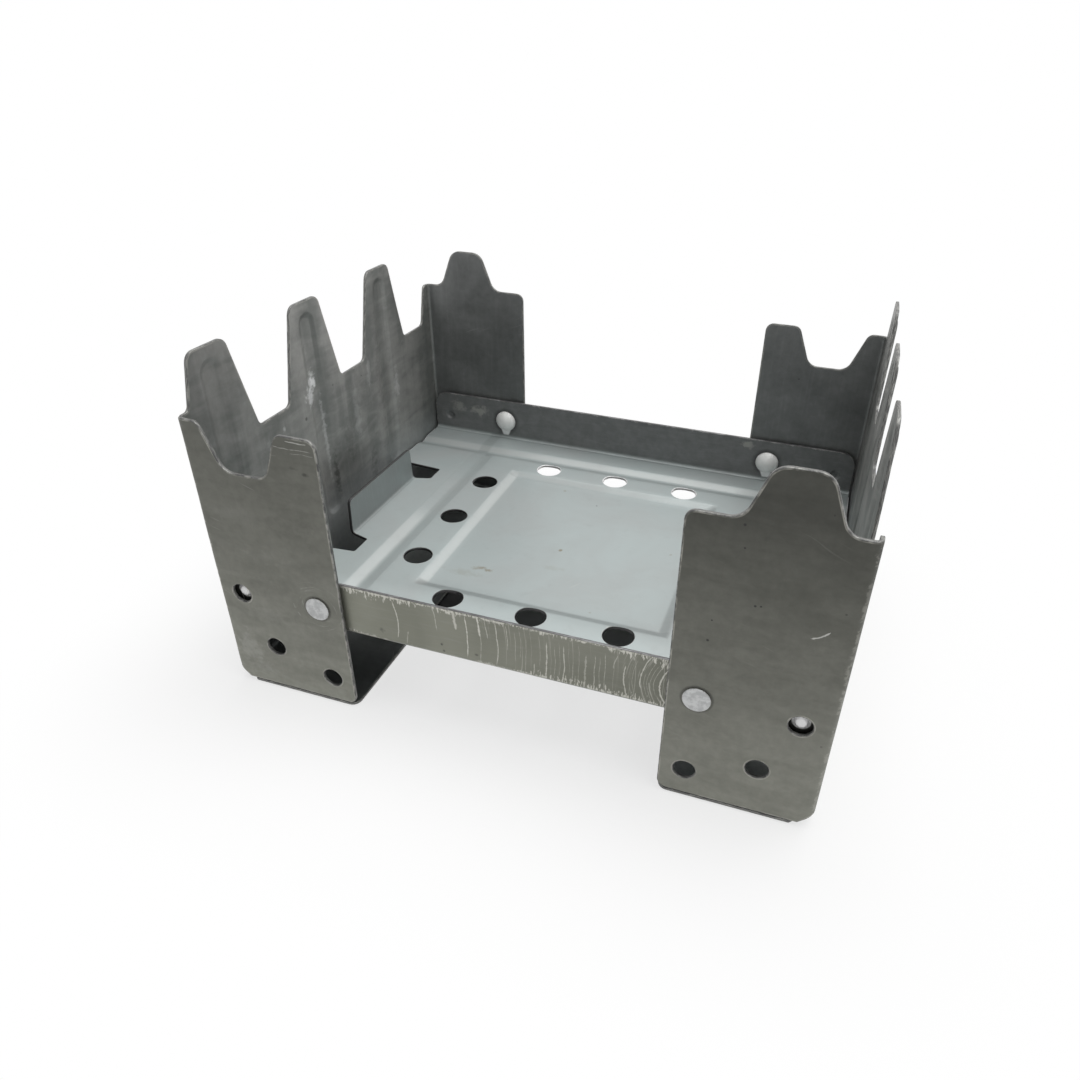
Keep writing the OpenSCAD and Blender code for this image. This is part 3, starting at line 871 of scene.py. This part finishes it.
# Arcs on the outside of the flanges, by pivot: radius, low, high, width
FLANGE_SCRATCHES = {
    -PIVOT_X: (
        (13.4, 16.2, 23.6, 0.12, 0.85), (15.0, 15.6, 18.2, 0.12, 0.4), (19.95, 19.4, 24.0, 0.11, 0.5),
        (23.2, 20.6, 24.2, 0.3, 0.75), (24.92, 15.6, 23.9, 0.12, 1.0), (27.0, 20.3, 24.2, 0.22, 1.0),
        (27.1, 15.2, 21.3, 0.08, 0.5), (28.2, 20.2, 23.9, 0.09, 0.6), (29.75, 15.6, 24.0, 0.11, 0.75),
        (31.4, 19.0, 23.7, 0.08, 0.6), (32.6, 17.0, 23.0, 0.06, 0.4), (33.4, 18.0, 23.6, 0.05, 0.35),
        (34.2, 15.4, 22.5, 0.06, 0.35), (35.0, 16.4, 23.8, 0.04, 0.3), (35.5, 15.5, 17.8, 0.1, 0.6),
        (36.4, 17.0, 23.4, 0.05, 0.35), (37.45, 15.3, 22.4, 0.13, 0.8), (38.1, 16.0, 23.6, 0.04, 0.3),
        (38.7, 16.0, 22.0, 0.06, 0.4), (39.4, 15.8, 23.0, 0.05, 0.35), (40.05, 15.2, 22.4, 0.11, 0.7),
        (40.8, 17.0, 23.4, 0.04, 0.3), (41.4, 15.2, 20.0, 0.07, 0.45), (42.3, 16.0, 23.4, 0.05, 0.35),
        (43.3, 15.2, 21.6, 0.2, 0.4), (44.65, 15.2, 22.0, 0.09, 0.5), (45.4, 16.4, 22.0, 0.06, 0.35),
        (46.2, 15.3, 23.0, 0.07, 0.45), (47.5, 16.0, 22.6, 0.05, 0.3),
    ),
    PIVOT_X: (
        (5.35, 15.4, 22.6, 0.16, 0.9), (6.2, 16.6, 24.4, 0.06, 0.45), (6.7, 18.0, 23.0, 0.05, 0.4),
        (7.2, 16.0, 23.4, 0.06, 0.4), (7.6, 16.4, 21.0, 0.05, 0.35), (8.15, 17.6, 24.2, 0.12, 0.8),
        (9.3, 15.6, 23.0, 0.06, 0.35), (10.6, 15.2, 21.6, 0.14, 0.75), (12.2, 20.2, 23.0, 0.1, 0.5),
    ),
}
# Lines along the top of the left shell's front flap: height, from, to, width
LEFT_FLAP_LINES = (
    (47.85, 10.9, 16.6, 0.12, 0.9), (47.3, 10.6, 14.2, 0.13, 0.9), (47.75, 18.0, 21.6, 0.12, 0.8),
    (46.6, 15.4, 22.2, 0.07, 0.5), (46.0, 18.5, 22.4, 0.06, 0.4), (45.2, 11.0, 16.5, 0.05, 0.25),
)
# Smudges: centre, width, height
LEFT_FLAP_SPOTS = (
    (-41.2, 7.5, 2.4, 3.6, 0.5), (-42.5, 3.5, 3.0, 1.6, 0.35), (-46.5, 15.5, 4.0, 1.6, 0.18),
    (-49.0, 27.0, 5.0, 1.4, 0.12), (-44.5, 34.0, 4.5, 1.8, 0.12),
)
LEFT_FLAP_DIRT = (
    (-58.2, 42.9, 0.5, 0.35, 0.6), (-56.4, 43.6, 0.8, 0.35, 0.35), (-53.5, 33.5, 7.0, 1.5, 0.14),
    (-50.0, 42.0, 6.0, 1.2, 0.12), (-47.0, 21.5, 5.0, 2.0, 0.12),
)
LEFT_WALL_SPOTS = (
    (-6.7, 42.4, 1.2, 1.9, 1.0), (-8.0, 40.0, 1.5, 2.2, 0.9), (-19.4, 41.2, 1.2, 0.45, 0.5),
    (-16.6, 37.3, 0.5, 0.7, 0.45), (-5.0, 31.0, 0.6, 8.5, 0.35), (5.5, 30.5, 1.2, 6.0, 0.15),
    (11.0, 38.0, 0.8, 3.5, 0.2), (-27.0, 17.5, 1.6, 1.2, 0.3), (-21.0, 33.0, 0.7, 5.0, 0.12),
    (21.2, 31.5, 0.8, 5.0, 0.35),
)
LEFT_WALL_DIRT = (
    (-3.6, 22.5, 0.7, 4.5, 0.7), (-13.5, 19.0, 4.0, 5.5, 0.38), (-22.5, 21.0, 3.0, 6.0, 0.25),
    (15.0, 34.0, 1.6, 9.0, 0.25), (2.0, 27.0, 1.8, 4.5, 0.3), (9.4, 17.5, 1.4, 4.0, 0.4),
)
REAR_FLANGE_SPOTS = (
    (-36.2, 20.8, 2.6, 1.2, 0.4), (-41.5, 21.2, 2.0, 1.6, 0.3), (25.3, 22.6, 1.6, 1.0, 0.4),
)
FLANGE_DIRT = (
    (-9.2, 17.2, 0.3, 0.3, 0.9), (-19.5, 17.2, 0.7, 0.5, 0.5), (-3.5, 16.7, 0.5, 0.3, 0.6),
    (-8.9, 16.0, 0.2, 0.2, 0.6),
)
FLOOR_STAINS = (
    (-13.9, -13.4, 1.2, 0.8, 0.6), (-12.3, -13.6, 1.1, 0.6, 0.7), (-16.3, -15.6, 3.6, 0.9, 0.2),
    (-2.3, -3.1, 0.35, 0.4, 0.7), (-8.9, 18.6, 0.35, 0.35, 0.5), (17.3, 2.4, 0.3, 0.3, 0.5),
    (-1.6, -9.0, 2.4, 0.8, 0.12), (8.5, -19.2, 0.3, 0.25, 0.5),
)
# Pits on the right shell's front flap, all of one strength: place from the wall, height, radius
RIGHT_FLAP_PITS = (
    (15.6, 47.65, 0.2), (15.2, 44.5, 0.14), (17.9, 33.0, 0.13), (12.9, 36.5, 0.18), (12.2, 36.6, 0.15),
    (18.1, 29.7, 0.2),
)


def scratches(distance, height, ragged, marks):
    return most_of(
        drawn_scratch(distance=distance, height=height, radius=r, low=low, high=high, width=width,
                      ragged=ragged)[0] * strength
        for r, low, high, width, strength in marks)


def smudges(place, ragged, marks):
    return most_of(
        smudge(place=place, centre=(x, y, 0), size=(wide, high, 1), ragged=ragged)[0] * strength
        for x, y, wide, high, strength in marks)


# Finishes

GRAIN_DEPTH = 0.03 * MM


def grey(value, tint=(0, 0, 0)):
    return tuple(value + t for t in tint) + (1.0,)


def new_finish(name):
    made = bpy.data.materials.new(name)
    made.use_nodes = True
    return made, made.node_tree


def finish_steel(tree, colour, rough, metal, height, strength):
    bump = add("ShaderNodeBump", {"Strength": strength, "Distance": GRAIN_DEPTH, "Height": height})[0]
    feed(tree.nodes["Principled BSDF"], {
        "Base Color": colour, "Roughness": rough, "Normal": bump, "Metallic": metal})


def bent_scratch(flat, ragged):
    """The short curved scratch on the right shell's front flap."""
    off = turned(vector("SUBTRACT", flat, ((flap_u(5.5) + flap_u(3.4)) / 2, 33.95, 0)), -0.935)
    up = add("ShaderNodeVectorMath", {0: off, 1: (0, 1, 0)}, operation="DOT_PRODUCT")["Value"]
    drawn = drawn_scratch(distance=distance_to(off, (4.0, 0, 0)), radius=4.0, height=up,
                          low=-1.45, high=1.35, width=0.15, ragged=ragged)[0]
    return drawn * ramp(distance_to(off, ORIGIN), 2.4, 2.0)


def flap_scratches(x, y, place, ragged, lines):
    """Scratches that run along the front flap."""
    wander = ramp(cloud(place, 0.45, 1.0), 0.0, 1.0, -0.3, 0.3, smooth=False)
    marks = [(v, flap_u(start), flap_u(end), *rest) for v, start, end, *rest in lines]
    return scratches(y + wander, wander * 0.5 - x, ragged, marks)


def shell_zinc(x, y, inner, outer, on_flap, grain, smear, painted_top_to_foot_shading):
    """Colour of a shell's plating: yellowish outside, streaked inside the wall, even inside the flaps. The
    wall has painted shade, and the outside painted shading from top to foot.
    """
    outside = shade(grain["Clouds"] * 0.5 + smear * 0.5, 0.38, 0.62,
                    grey(0.17, (0.001, 0.003, -0.021)), grey(0.214, (0.001, 0.003, -0.025)))
    wall = shade(grain["Bands"] * 0.6 + smear * 0.4, 0.38, 0.62,
                 grey(0.21, (-0.002, 0.004, -0.006)), grey(0.345, (0.003, 0.0, -0.014)))
    wall = blend(ramp(y, 24.0, 14.0, 0.0, 0.6), wall, grey(0.26, (-0.015, 0.004, 0.008)))
    # Painted shade: the wall darker towards the end beside the notched flap, and darker low down, under the
    # tray's floor
    wall = tone(wall, ramp(x, -36.0, -8.0, 0.7, 1.08, smooth=False))
    wall = tone(wall, 1.0 - ramp(y, 13.0, 4.0) * ramp(x, 18.0, -8.0) * 0.38)
    flap_inside = shade(grain["Clouds"], 0.3, 0.7,
                        grey(0.17, (-0.002, 0.004, 0.002)), grey(0.215, (-0.002, 0.004, 0.002)))
    colour = blend(inner, tone(outside, painted_top_to_foot_shading), blend(on_flap, wall, flap_inside))
    streaks = ramp(grain["Streaks"], 0.45, 0.8, 0.0, 0.12) * ramp(outer, 0.0, 1.0, 1.0, 0.3)
    return tone(tone(colour, streaks + 1.0), ramp(grain["Mottle"], 0.3, 0.75, 1.05, 0.86, smooth=False))


def shell_finish(name, shift, top, foot, rise, fold_wear, ring_wear, lines=(), spots=(), dirt=(),
                 wall_spots=(), wall_dirt=(), pits=()):
    """Dull zinc with soft clouds, rubbed edges and light scuffs. Outside, painted shading makes it darker at
    the top and lighter towards the foot.
    """
    made, tree = new_finish(name)
    x, y, side = split(read(tree, "blank")["Vector"])
    flat = triple(x, y)
    place = triple(x + shift, y, side * 3.0)
    inner = ramp(side, 0.0, -0.1)
    outer = 1.0 - inner
    ragged = cloud(place, 1.7, 2.0, 0.7)
    torn = cloud(place, 0.8, 3.0, 0.65)
    from_fold = abs(x) - (WALL_BEND + ARC / 2)
    on_flap = ramp(from_fold, -0.7, 0.7)
    grain = rolled_grain(place=place, across=1.3, along=0.07, cloud_size=10.0)
    smear = cloud(vector("MULTIPLY", place, (0.09, 0.3, 1.0)), 1.0, 3.0, 0.6, 0.4)
    edges = edge_wear(place=place, width=0.18, share=0.5, chips=1.3)
    folds = bend_wear(place=place, from_bend=from_fold, width=0.3, share=0.68)["Worn"] * fold_wear
    foot_bend = bend_wear(place=place, from_bend=y - (BEND - ARC / 2), width=0.35, share=0.6)["Worn"]
    folds = most(folds, foot_bend * (1.0 - on_flap)) * outer
    round_pivot = triple(abs(x) - flap_u(PIVOT_IN), y - PIVOT_Z)
    scuffs = swing_scratches(place=round_pivot, inner=2.0, outer=4.2, lines=2.6, share=0.6,
                             seed=shift)[0]
    # Painted shadow: a dark ring right round the rivet head on the outer face
    ring = band(distance_to(round_pivot, ORIGIN), 2.02, 2.12, 2.2, 2.5) * outer
    stray = stray_scratches(place=place, turn=1.2, spacing=3.0, share=0.42)[0]
    speck = specks(place=place, spacing=4.6, size=0.05, share=0.28)[0] * 0.7
    drawn = bent_scratch(flat, ragged) if pits else flap_scratches(x, y, place, ragged, lines)
    for dx, v, r in pits:
        speck = most(speck, ramp(distance_to(flat, (flap_u(dx), v, 0)), r * 1.3, r * 0.5))
    # Painted shading: the outer faces darker at the top and lighter towards the foot, set by top, foot and
    # rise
    painted_top_to_foot_shading = calc("POWER", ramp(y, 50.0, 0.0, smooth=False), rise)
    painted_top_to_foot_shading = calc("MULTIPLY_ADD", painted_top_to_foot_shading, foot - top, top)
    colour = shell_zinc(x, y, inner, outer, on_flap, grain, smear, painted_top_to_foot_shading)
    rubbed = outer * smudges(flat, torn, spots) * 0.5
    bright_spots = inner * smudges(flat, torn, wall_spots)
    # Dark: dirt smudges, with the painted shadow ring round the head added next
    dark = outer * smudges(flat, torn, dirt) + inner * smudges(flat, torn, wall_dirt)
    dark = most(dark, ring * 0.5)
    marks = most(scuffs * outer * ring_wear, stray * fold_wear * 0.2, outer * drawn, rubbed)
    colour = tone(colour, ramp(dark, 0.0, 1.0, 1.0, 0.25, smooth=False))
    colour = blend(marks * 0.75, colour, grey(0.60, (0.0, 0.0, -0.03)))
    colour = blend(bright_spots, colour, grey(0.85))
    bright = most(edges["Worn"] * 0.6, edges["Line"] * 0.5, folds * 0.8)
    colour = blend(bright, colour, grey(0.52, (0.01, 0.0, -0.05)))
    cut_tone = shade(grain["Mottle"], 0.4, 0.65, grey(0.1), grey(0.32, (0.0, 0.0, -0.02)))
    colour = blend(edges["Cut"], colour, cut_tone)
    colour = blend(speck * 0.85, colour, grey(0.03))
    rough = ramp(grain["Clouds"], 0.25, 0.75, 0.42, 0.54) - bright * 0.1
    height = grain["Streaks"] * 0.2 + grain["Mottle"] * 0.5 - most(marks, speck) * 0.7
    finish_steel(tree, colour, rough, 0.6, height, 0.4)
    return made


def flange_drags(place, across, height_z, from_bend, rim):
    """Scratches, nicks and rubbed edges that the swinging flaps leave on the flanges."""
    wander = ramp(cloud(place, 0.3, 1.0), 0.0, 1.0, -0.25, 0.25, smooth=False)
    ragged = cloud(place, 1.7, 2.0, 0.7)
    up = height_z + wander
    drawn = most_of(
        scratches(distance_to(place, (pivot, PIVOT_Z, 0)) + wander, up, ragged, arcs)
        for pivot, arcs in FLANGE_SCRATCHES.items())
    left = vector("ADD", place, (PIVOT_X, -PIVOT_Z, 0))
    right = vector("ADD", place, (-PIVOT_X, -PIVOT_Z, 0))
    hair = swing_scratches(place=left, inner=24.0, outer=62.0, lines=2.3, share=0.75, seed=2.0)[0]
    near = swing_scratches(place=right, inner=4.0, outer=10.5, lines=2.2, share=0.75, seed=6.5)[0]
    ends = ramp(abs(across - 1.0), 13.0, 25.0, 0.6, 1.1)
    ticks = edge_ticks(place=place, distance=rim, reach=1.7, share=ends)[0]
    brim = bend_wear(place=vector("MULTIPLY", place, (1.6, 1.0, 1.0)), from_bend=rim - 0.3,
                     width=0.16, share=ramp(across, -8.0, 6.0, 0.72, 0.5))[0]
    foot_share = most(ramp(across, -1.0, 8.0), ramp(across, -21.5, -24.5))
    foot_ticks = edge_ticks(place=vector("ADD", place, (40, 0, 0)), distance=from_bend - 0.3,
                            reach=1.5, share=foot_share)[0]
    return most(drawn, hair * 0.4, near * 0.45, most(ticks, brim) * 0.95, foot_ticks * 0.85)


def floor_zinc_and_shading(x, y, from_bend, upper, inner, grain):
    """Colour of the floor, with painted shade and painted highlights on the borders of its pressings, painted
    shade on the lips and at the foot of the flanges, and lighter painted strips at the left and front.
    """
    floor = shade(grain["Clouds"], 0.3, 0.75,
                  grey(0.43, (-0.036, 0.012, 0.008)), grey(0.385, (-0.018, 0.01, 0.006)))
    half = PANEL_W / 2
    low_half = half - PANEL_SLOPE
    # Painted light: the strips outside the panel at the left and front made lighter
    left_strip = ramp(x, -half - 0.2, -half - 3.7) * 0.2
    front_strip = ramp(y, -half - 0.2, -half - 3.7)
    floor = tone(floor, calc("MULTIPLY_ADD", most(left_strip, front_strip), 0.12, 1.0))
    # Painted shade: the lips' inner faces and the foot of the flanges made darker
    lip_y = LIP_W / 2 + 0.3
    on_lip = ramp(abs(x), LIP_BEND - 0.1, LIP_BEND + 0.3) * ramp(abs(y), lip_y + 0.3, lip_y) * upper
    at_foot = ramp(from_bend, -1.1, -0.6) * (1.0 - inner) * upper
    floor = tone(floor, calc("MULTIPLY_ADD", most(on_lip, at_foot * 0.65), -0.4, 1.0))
    # Painted shade on the borders of the panel and grooves that face away from the light, painted highlights
    # on those that face it
    within = ramp(abs(x), half + 0.3, half - 0.6) * ramp(abs(y), half + 0.3, half - 0.6)
    groove_x, groove_y = -SHORT_GROOVE_X, LONG_GROOVE_Y
    near, far = groove_y - GROOVE_W / 2, groove_y + GROOVE_W / 2
    fade = band(x, groove_x - 2.75, groove_x - 1.95, groove_x - 0.35, groove_x + 0.45) * ramp(y, -4.0, 3.0)
    painted_crease_shade = most(
        ramp(y, -low_half + 0.5, -low_half - 0.2) * within * 0.26,
        ramp(x, low_half - 0.5, low_half + 0.2) * within * 0.16,
        ramp(y, low_half - 0.4, low_half + 0.2) * within * 0.2,
        fade * 0.16)
    painted_slope_highlight = most(
        band(y, groove_y + 0.1, groove_y + 0.5, far - 0.7, far),
        band(x, groove_x - 2.55, groove_x - 1.85, groove_x - 0.35, groove_x + 0.15) * ramp(y, 3.0, -4.0),
        ramp(x, -low_half + 0.5, -low_half - 0.3) * within,
        ramp(y, low_half + 0.1, low_half + 0.5) * within * 0.5)
    floor = blend(painted_slope_highlight * upper * 0.6, floor, grey(0.45, (-0.014, 0.004, -0.006)))
    painted_groove_shade = band(y, near, near + 0.7, groove_y - 0.6, groove_y - 0.1) * 0.2
    return tone(floor, 1.0 - most(painted_crease_shade * upper, painted_groove_shade * upper))


def pivot_marks(x, y, height_z, outer, inner, upper, at_rear):
    """Painted shade in the gap round the pips, painted highlights on their tops, painted shade round the
    domes and a near-white tail below the rear domes.
    """
    quarter = triple(abs(x), abs(y))
    pip_r = distance_to(quarter, (*pip_places()[-1], 0))
    pip_gap_shade = band(pip_r, 1.15, 1.35, 2.0, 3.2) * outer
    pip_highlight = ramp(pip_r, 1.35, 1.1) * outer
    dome_shade = ramp(distance_to(quarter, (PIVOT_X, flange_v(PIVOT_Z), 0)), 3.5, 2.4) * inner
    tail_half = calc("MULTIPLY_ADD", height_z, 0.42, 0.62 - 15.9 * 0.42)
    rear_dome_tail = ramp(abs(abs(x) - PIVOT_X) - tail_half, 0.2, -0.2) * band(height_z, 15.7, 16.1, 17.4, 17.8)
    return pip_gap_shade, pip_highlight, dome_shade, rear_dome_tail * upper * at_rear


def tray_finish():
    """Paler blue grey zinc. The flanges' outer faces are rubbed grey by the swinging flaps and partly painted
    darker as shade; their inner faces are painted darker as shade.
    """
    made, tree = new_finish("tray_zinc")
    x, y, side = split(read(tree, "blank")["Vector"])
    flat = triple(x, y)
    place = triple(x, y, side * 3.0)
    across = x * (calc("SIGN", y) * -1.0)
    height_z = abs(y) - flange_v(0.0)
    flange_place = triple(across, height_z)
    from_bend = abs(y) - (FLANGE_BEND + ARC / 2)
    flange = ramp(from_bend, -0.5, 0.5)
    under = ramp(side, 0.0, -0.1)
    upper = 1.0 - under
    outer = under * flange
    inner = upper * ramp(from_bend, 0.1, 1.0)
    at_rear = ramp(y, -1.0, 1.0)
    torn = cloud(place, 0.8, 3.0, 0.65)
    grain = rolled_grain(place=place, across=0.2, along=1.7, cloud_size=15.0)
    edges = edge_wear(place=place, width=0.2, share=0.5, chips=1.6)
    bends = bend_wear(place=place, from_bend=from_bend - 0.35, width=0.3, share=0.5)["Worn"] * under
    dragged = flange_drags(flange_place, across, height_z, from_bend, read(tree, "rim")["Fac"]) * outer
    stray = stray_scratches(place=place, turn=0.5, spacing=4.5, share=0.33)[0] * (1.0 - flange)
    speck = specks(place=place, spacing=6.5, size=0.045, share=0.22)[0]
    pip_gap_shade, pip_highlight, dome_shade, rear_dome_tail = pivot_marks(x, y, height_z, outer, inner, upper, at_rear)
    floor = floor_zinc_and_shading(x, y, from_bend, upper, inner, grain)
    # The flanges' outer faces: rubbed grey, partly painted shade, lighter at one end and darker at the other
    rubbed = shade(grain["Clouds"], 0.3, 0.7,
                   grey(0.245, (0.001, 0.005, -0.038)), grey(0.21, (0.001, 0.005, -0.034)))
    colour = blend(outer, floor, tone(rubbed, ramp(across, -25.0, 25.0, 1.12, 0.85, smooth=False)))
    # Painted shade: the flanges' inner faces a darker copy of the zinc, darker still round the domes
    inside = shade(grain["Mottle"], 0.3, 0.7, grey(0.16, (0.0, 0.004, 0.003)), grey(0.2, (0.0, 0.004, 0.003)))
    colour = blend(inner, colour, tone(inside, calc("MULTIPLY_ADD", dome_shade, -0.55, 1.0)))
    colour = blend(ramp(grain["Streaks"], 0.45, 0.8, 0.0, 0.08), colour, grey(0.5))
    colour = blend(ramp(grain["Mottle"], 0.55, 0.8, 0.0, 0.1), colour, grey(0.2))
    colour = blend(smudges(flat, torn, FLOOR_STAINS) * upper, colour, (0.20, 0.16, 0.09, 1.0))
    light = smudges(triple(x, height_z), torn, REAR_FLANGE_SPOTS) * inner * at_rear
    marks = most(dragged, stray * 0.2, light)
    dirt = smudges(flange_place, torn, FLANGE_DIRT) * outer
    # Painted shade round the pips with the flanges' dirt, then painted highlights on the pips' tops and the
    # near-white tail below the rear domes
    colour = blend(most(pip_gap_shade * 0.92, dirt), colour, grey(0.02))
    colour = blend(pip_highlight, colour, grey(0.8))
    colour = blend(rear_dome_tail, colour, grey(0.95))
    colour = blend(marks * 0.88, colour, grey(0.66, (0.01, 0.0, -0.06)))
    bright = most(edges["Worn"] * 0.6, bends * 0.7)
    colour = blend(bright, colour, grey(0.62, (0.01, 0.0, -0.06)))
    flange_rim = shade(grain["Mottle"], 0.45, 0.7, grey(0.1), grey(0.3))
    # Painted light and shade: the air holes' cut rims dark at the front and near white at the rear, as the
    # floor seen through them
    painted_hole_rim = shade(y, 18.0, 22.0, grey(0.05), grey(0.9))
    colour = blend(edges["Cut"], colour, shade(from_bend, -1.4, -2.0, flange_rim, painted_hole_rim))
    colour = blend(speck * 0.8, colour, grey(0.06))
    rough = ramp(grain["Clouds"], 0.25, 0.75, 0.40, 0.52) - marks * 0.1
    height = grain["Streaks"] * 0.5 - stray * 0.8
    finish_steel(tree, colour, rough, ramp(outer, 0.0, 1.0, 0.32, 0.5), height, 0.35)
    return made


def rivet_finish():
    """Satin rivets with faint smears; the domes are painted near white as painted light, much lighter than
    the heads.
    """
    made, tree = new_finish("rivet_zinc")
    place = vector("MULTIPLY", add("ShaderNodeTexCoord", tree=tree)["Object"], (1000, 1000, 1000))
    along = abs(split(place)[1])
    smear = cloud(place, 0.9, 3.0, 0.6)
    speck = specks(place=place, spacing=1.6, size=0.05, share=0.2)[0]
    head = shade(smear, 0.38, 0.62, grey(0.72, (-0.01, 0.0, 0.0)), grey(0.54, (-0.01, 0.0, 0.0)))
    # Painted light: the domes near white
    dome = shade(smear, 0.4, 0.7, grey(0.97, (0, 0, -0.02)), grey(0.92, (0, 0, -0.02)))
    colour = shade(along, 37.6, 37.2, head, dome)
    colour = blend(speck * 0.35, colour, grey(0.3))
    finish_steel(tree, colour, ramp(smear, 0.3, 0.7, 0.42, 0.52), 0.15, smear, 0.2)
    return made


# Pieces

shell_blank = cut_blank(shell_outline(), shell_holes(), shell_press_lines())
tray_blank = cut_blank(tray_outline(), tray_holes(), tray_press_lines())


def dress(piece, finish, node, body):
    """Gives a piece its finish and body, in place of its plain solid."""
    piece.data.materials.append(finish)
    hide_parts(node)
    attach(piece, body)


# The three numbers after the shift set the painted shading of the outer faces, from top to foot
left_zinc = shell_finish("left_shell_zinc", 0.0, 0.66, 1.45, 1.5, 1.0, 0.3, LEFT_FLAP_LINES,
                         LEFT_FLAP_SPOTS, LEFT_FLAP_DIRT, LEFT_WALL_SPOTS, LEFT_WALL_DIRT)
right_zinc = shell_finish("right_shell_zinc", 61.0, 0.34, 1.3, 0.95, 0.3, 0.0, pits=RIGHT_FLAP_PITS)
dress(form_sheet("left_shell_sheet", shell_blank, fold_shell), left_zinc,
      "left_shell", "left_shell")
dress(form_sheet("right_shell_sheet", shell_blank, fold_shell, math.pi), right_zinc,
      "right_shell", "right_shell")
dress(form_sheet("tray_sheet", tray_blank, fold_tray), tray_finish(), "tray", "tray")
rivet_zinc = rivet_finish()
for end, end_name in ((-1, "front"), (1, "rear")):
    for side, side_name in ((-1, "left"), (1, "right")):
        node = f"rivet_{end_name}_{side_name}"
        dress(form_rivet(node + "_turned", side, end), rivet_zinc, node, "tray")


# Floor, light and camera, in metres

FLOOR_HALF = 2.0
FLOOR_DROP = 0.0003
STOVE_HALF_X = 0.049
STOVE_HALF_Y = 0.039


def seen_ray(tree):
    """1 for rays that show the background: straight from the camera, mirrored or passed through."""
    rays = add("ShaderNodeLightPath", tree=tree)
    return most(rays["Is Camera Ray"], rays["Is Glossy Ray"], rays["Is Transmission Ray"])


def make_floor():
    """White floor that keeps the stove's shadow and runs out into white, with a painted shadow right under
    the tray, darker towards the left.
    """
    mesh = bpy.data.meshes.new("studio_floor")
    corners = [(x * FLOOR_HALF, y * FLOOR_HALF, -FLOOR_DROP) for x, y in ((-1, -1), (1, -1), (1, 1), (-1, 1))]
    mesh.from_pydata(corners, [], [(0, 1, 2, 3)])
    floor = bpy.data.objects.new("studio_floor", mesh)
    bpy.context.scene.collection.objects.link(floor)
    made, tree = new_finish("white_floor")
    tree.nodes.remove(tree.nodes["Principled BSDF"])
    x, y, _ = split(add("ShaderNodeTexCoord", tree=tree)["Object"])
    wide, deep = abs(x), abs(y)
    # Painted shadow: the floor under the tray is dark, darker towards the left
    painted_under_tray_shadow = ramp(wide, 0.031, 0.026) * ramp(y, -0.021, -0.013) * ramp(y, 0.036, 0.026)
    dark = shade(x, -0.026, -0.004, grey(0.12), grey(0.34))
    matt = add("ShaderNodeBsdfDiffuse", {"Color": blend(painted_under_tray_shadow, grey(0.93), dark)})[0]
    white = add("ShaderNodeEmission", {"Color": (1, 1, 1, 1), "Strength": 1.0}, tree)[0]
    beyond = triple(most(wide - STOVE_HALF_X, 0.0), most(deep - STOVE_HALF_Y, 0.0))
    far = ramp(distance_to(beyond, ORIGIN), 0.0, 0.04, 0.7, 1.0)
    share = seen_ray(tree) * far * (1.0 - painted_under_tray_shadow)
    mixed = add("ShaderNodeMixShader", {0: share, 1: matt, 2: white})[0]
    feed(tree.nodes["Material Output"], {"Surface": mixed})
    mesh.materials.append(made)


def make_world():
    """White all round as seen, with little light of its own."""
    world = bpy.data.worlds.new("studio")
    bpy.context.scene.world = world
    world.use_nodes = True
    strength = ramp(seen_ray(world.node_tree), 0.0, 1.0, 0.3, 1.0, smooth=False)
    feed(world.node_tree.nodes["Background"], {"Color": (1, 1, 1, 1), "Strength": strength})


def make_lamp():
    """One broad soft lamp above the stove, a little behind it and to the right."""
    light = bpy.data.lights.new("ceiling_light", "AREA")
    light.shape = "DISK"
    light.size = 0.9
    light.energy = 5.6
    holder = bpy.data.objects.new("ceiling_light", light)
    holder.location = (0.18, 0.12, 0.7)
    holder.rotation_mode = "QUATERNION"
    aim = Vector((0, 0, 0.02)) - holder.location
    holder.rotation_quaternion = aim.to_track_quat("-Z", "Y")
    bpy.context.scene.collection.objects.link(holder)


def make_camera():
    """Camera at the photograph's place, solved from points of the stove."""
    camera = bpy.data.cameras.new("camera")
    camera.sensor_width = 36
    camera.lens = 27.057
    camera.shift_x = -0.0347
    camera.shift_y = -0.0036
    camera.clip_start = 0.005
    holder = bpy.data.objects.new("camera", camera)
    bpy.context.scene.collection.objects.link(holder)
    holder.matrix_world = (
        Matrix.Translation((0.03862, -0.12171, 0.09651))
        @ Matrix.Rotation(math.radians(17.6255), 4, "Z")
        @ Matrix.Rotation(math.radians(90 - 32.1326), 4, "X")
        @ Matrix.Rotation(math.radians(1.3646), 4, "Z"))
    bpy.context.scene.camera = holder


make_floor()
make_world()
make_lamp()
make_camera()
bpy.context.scene.view_settings.view_transform = "Standard"
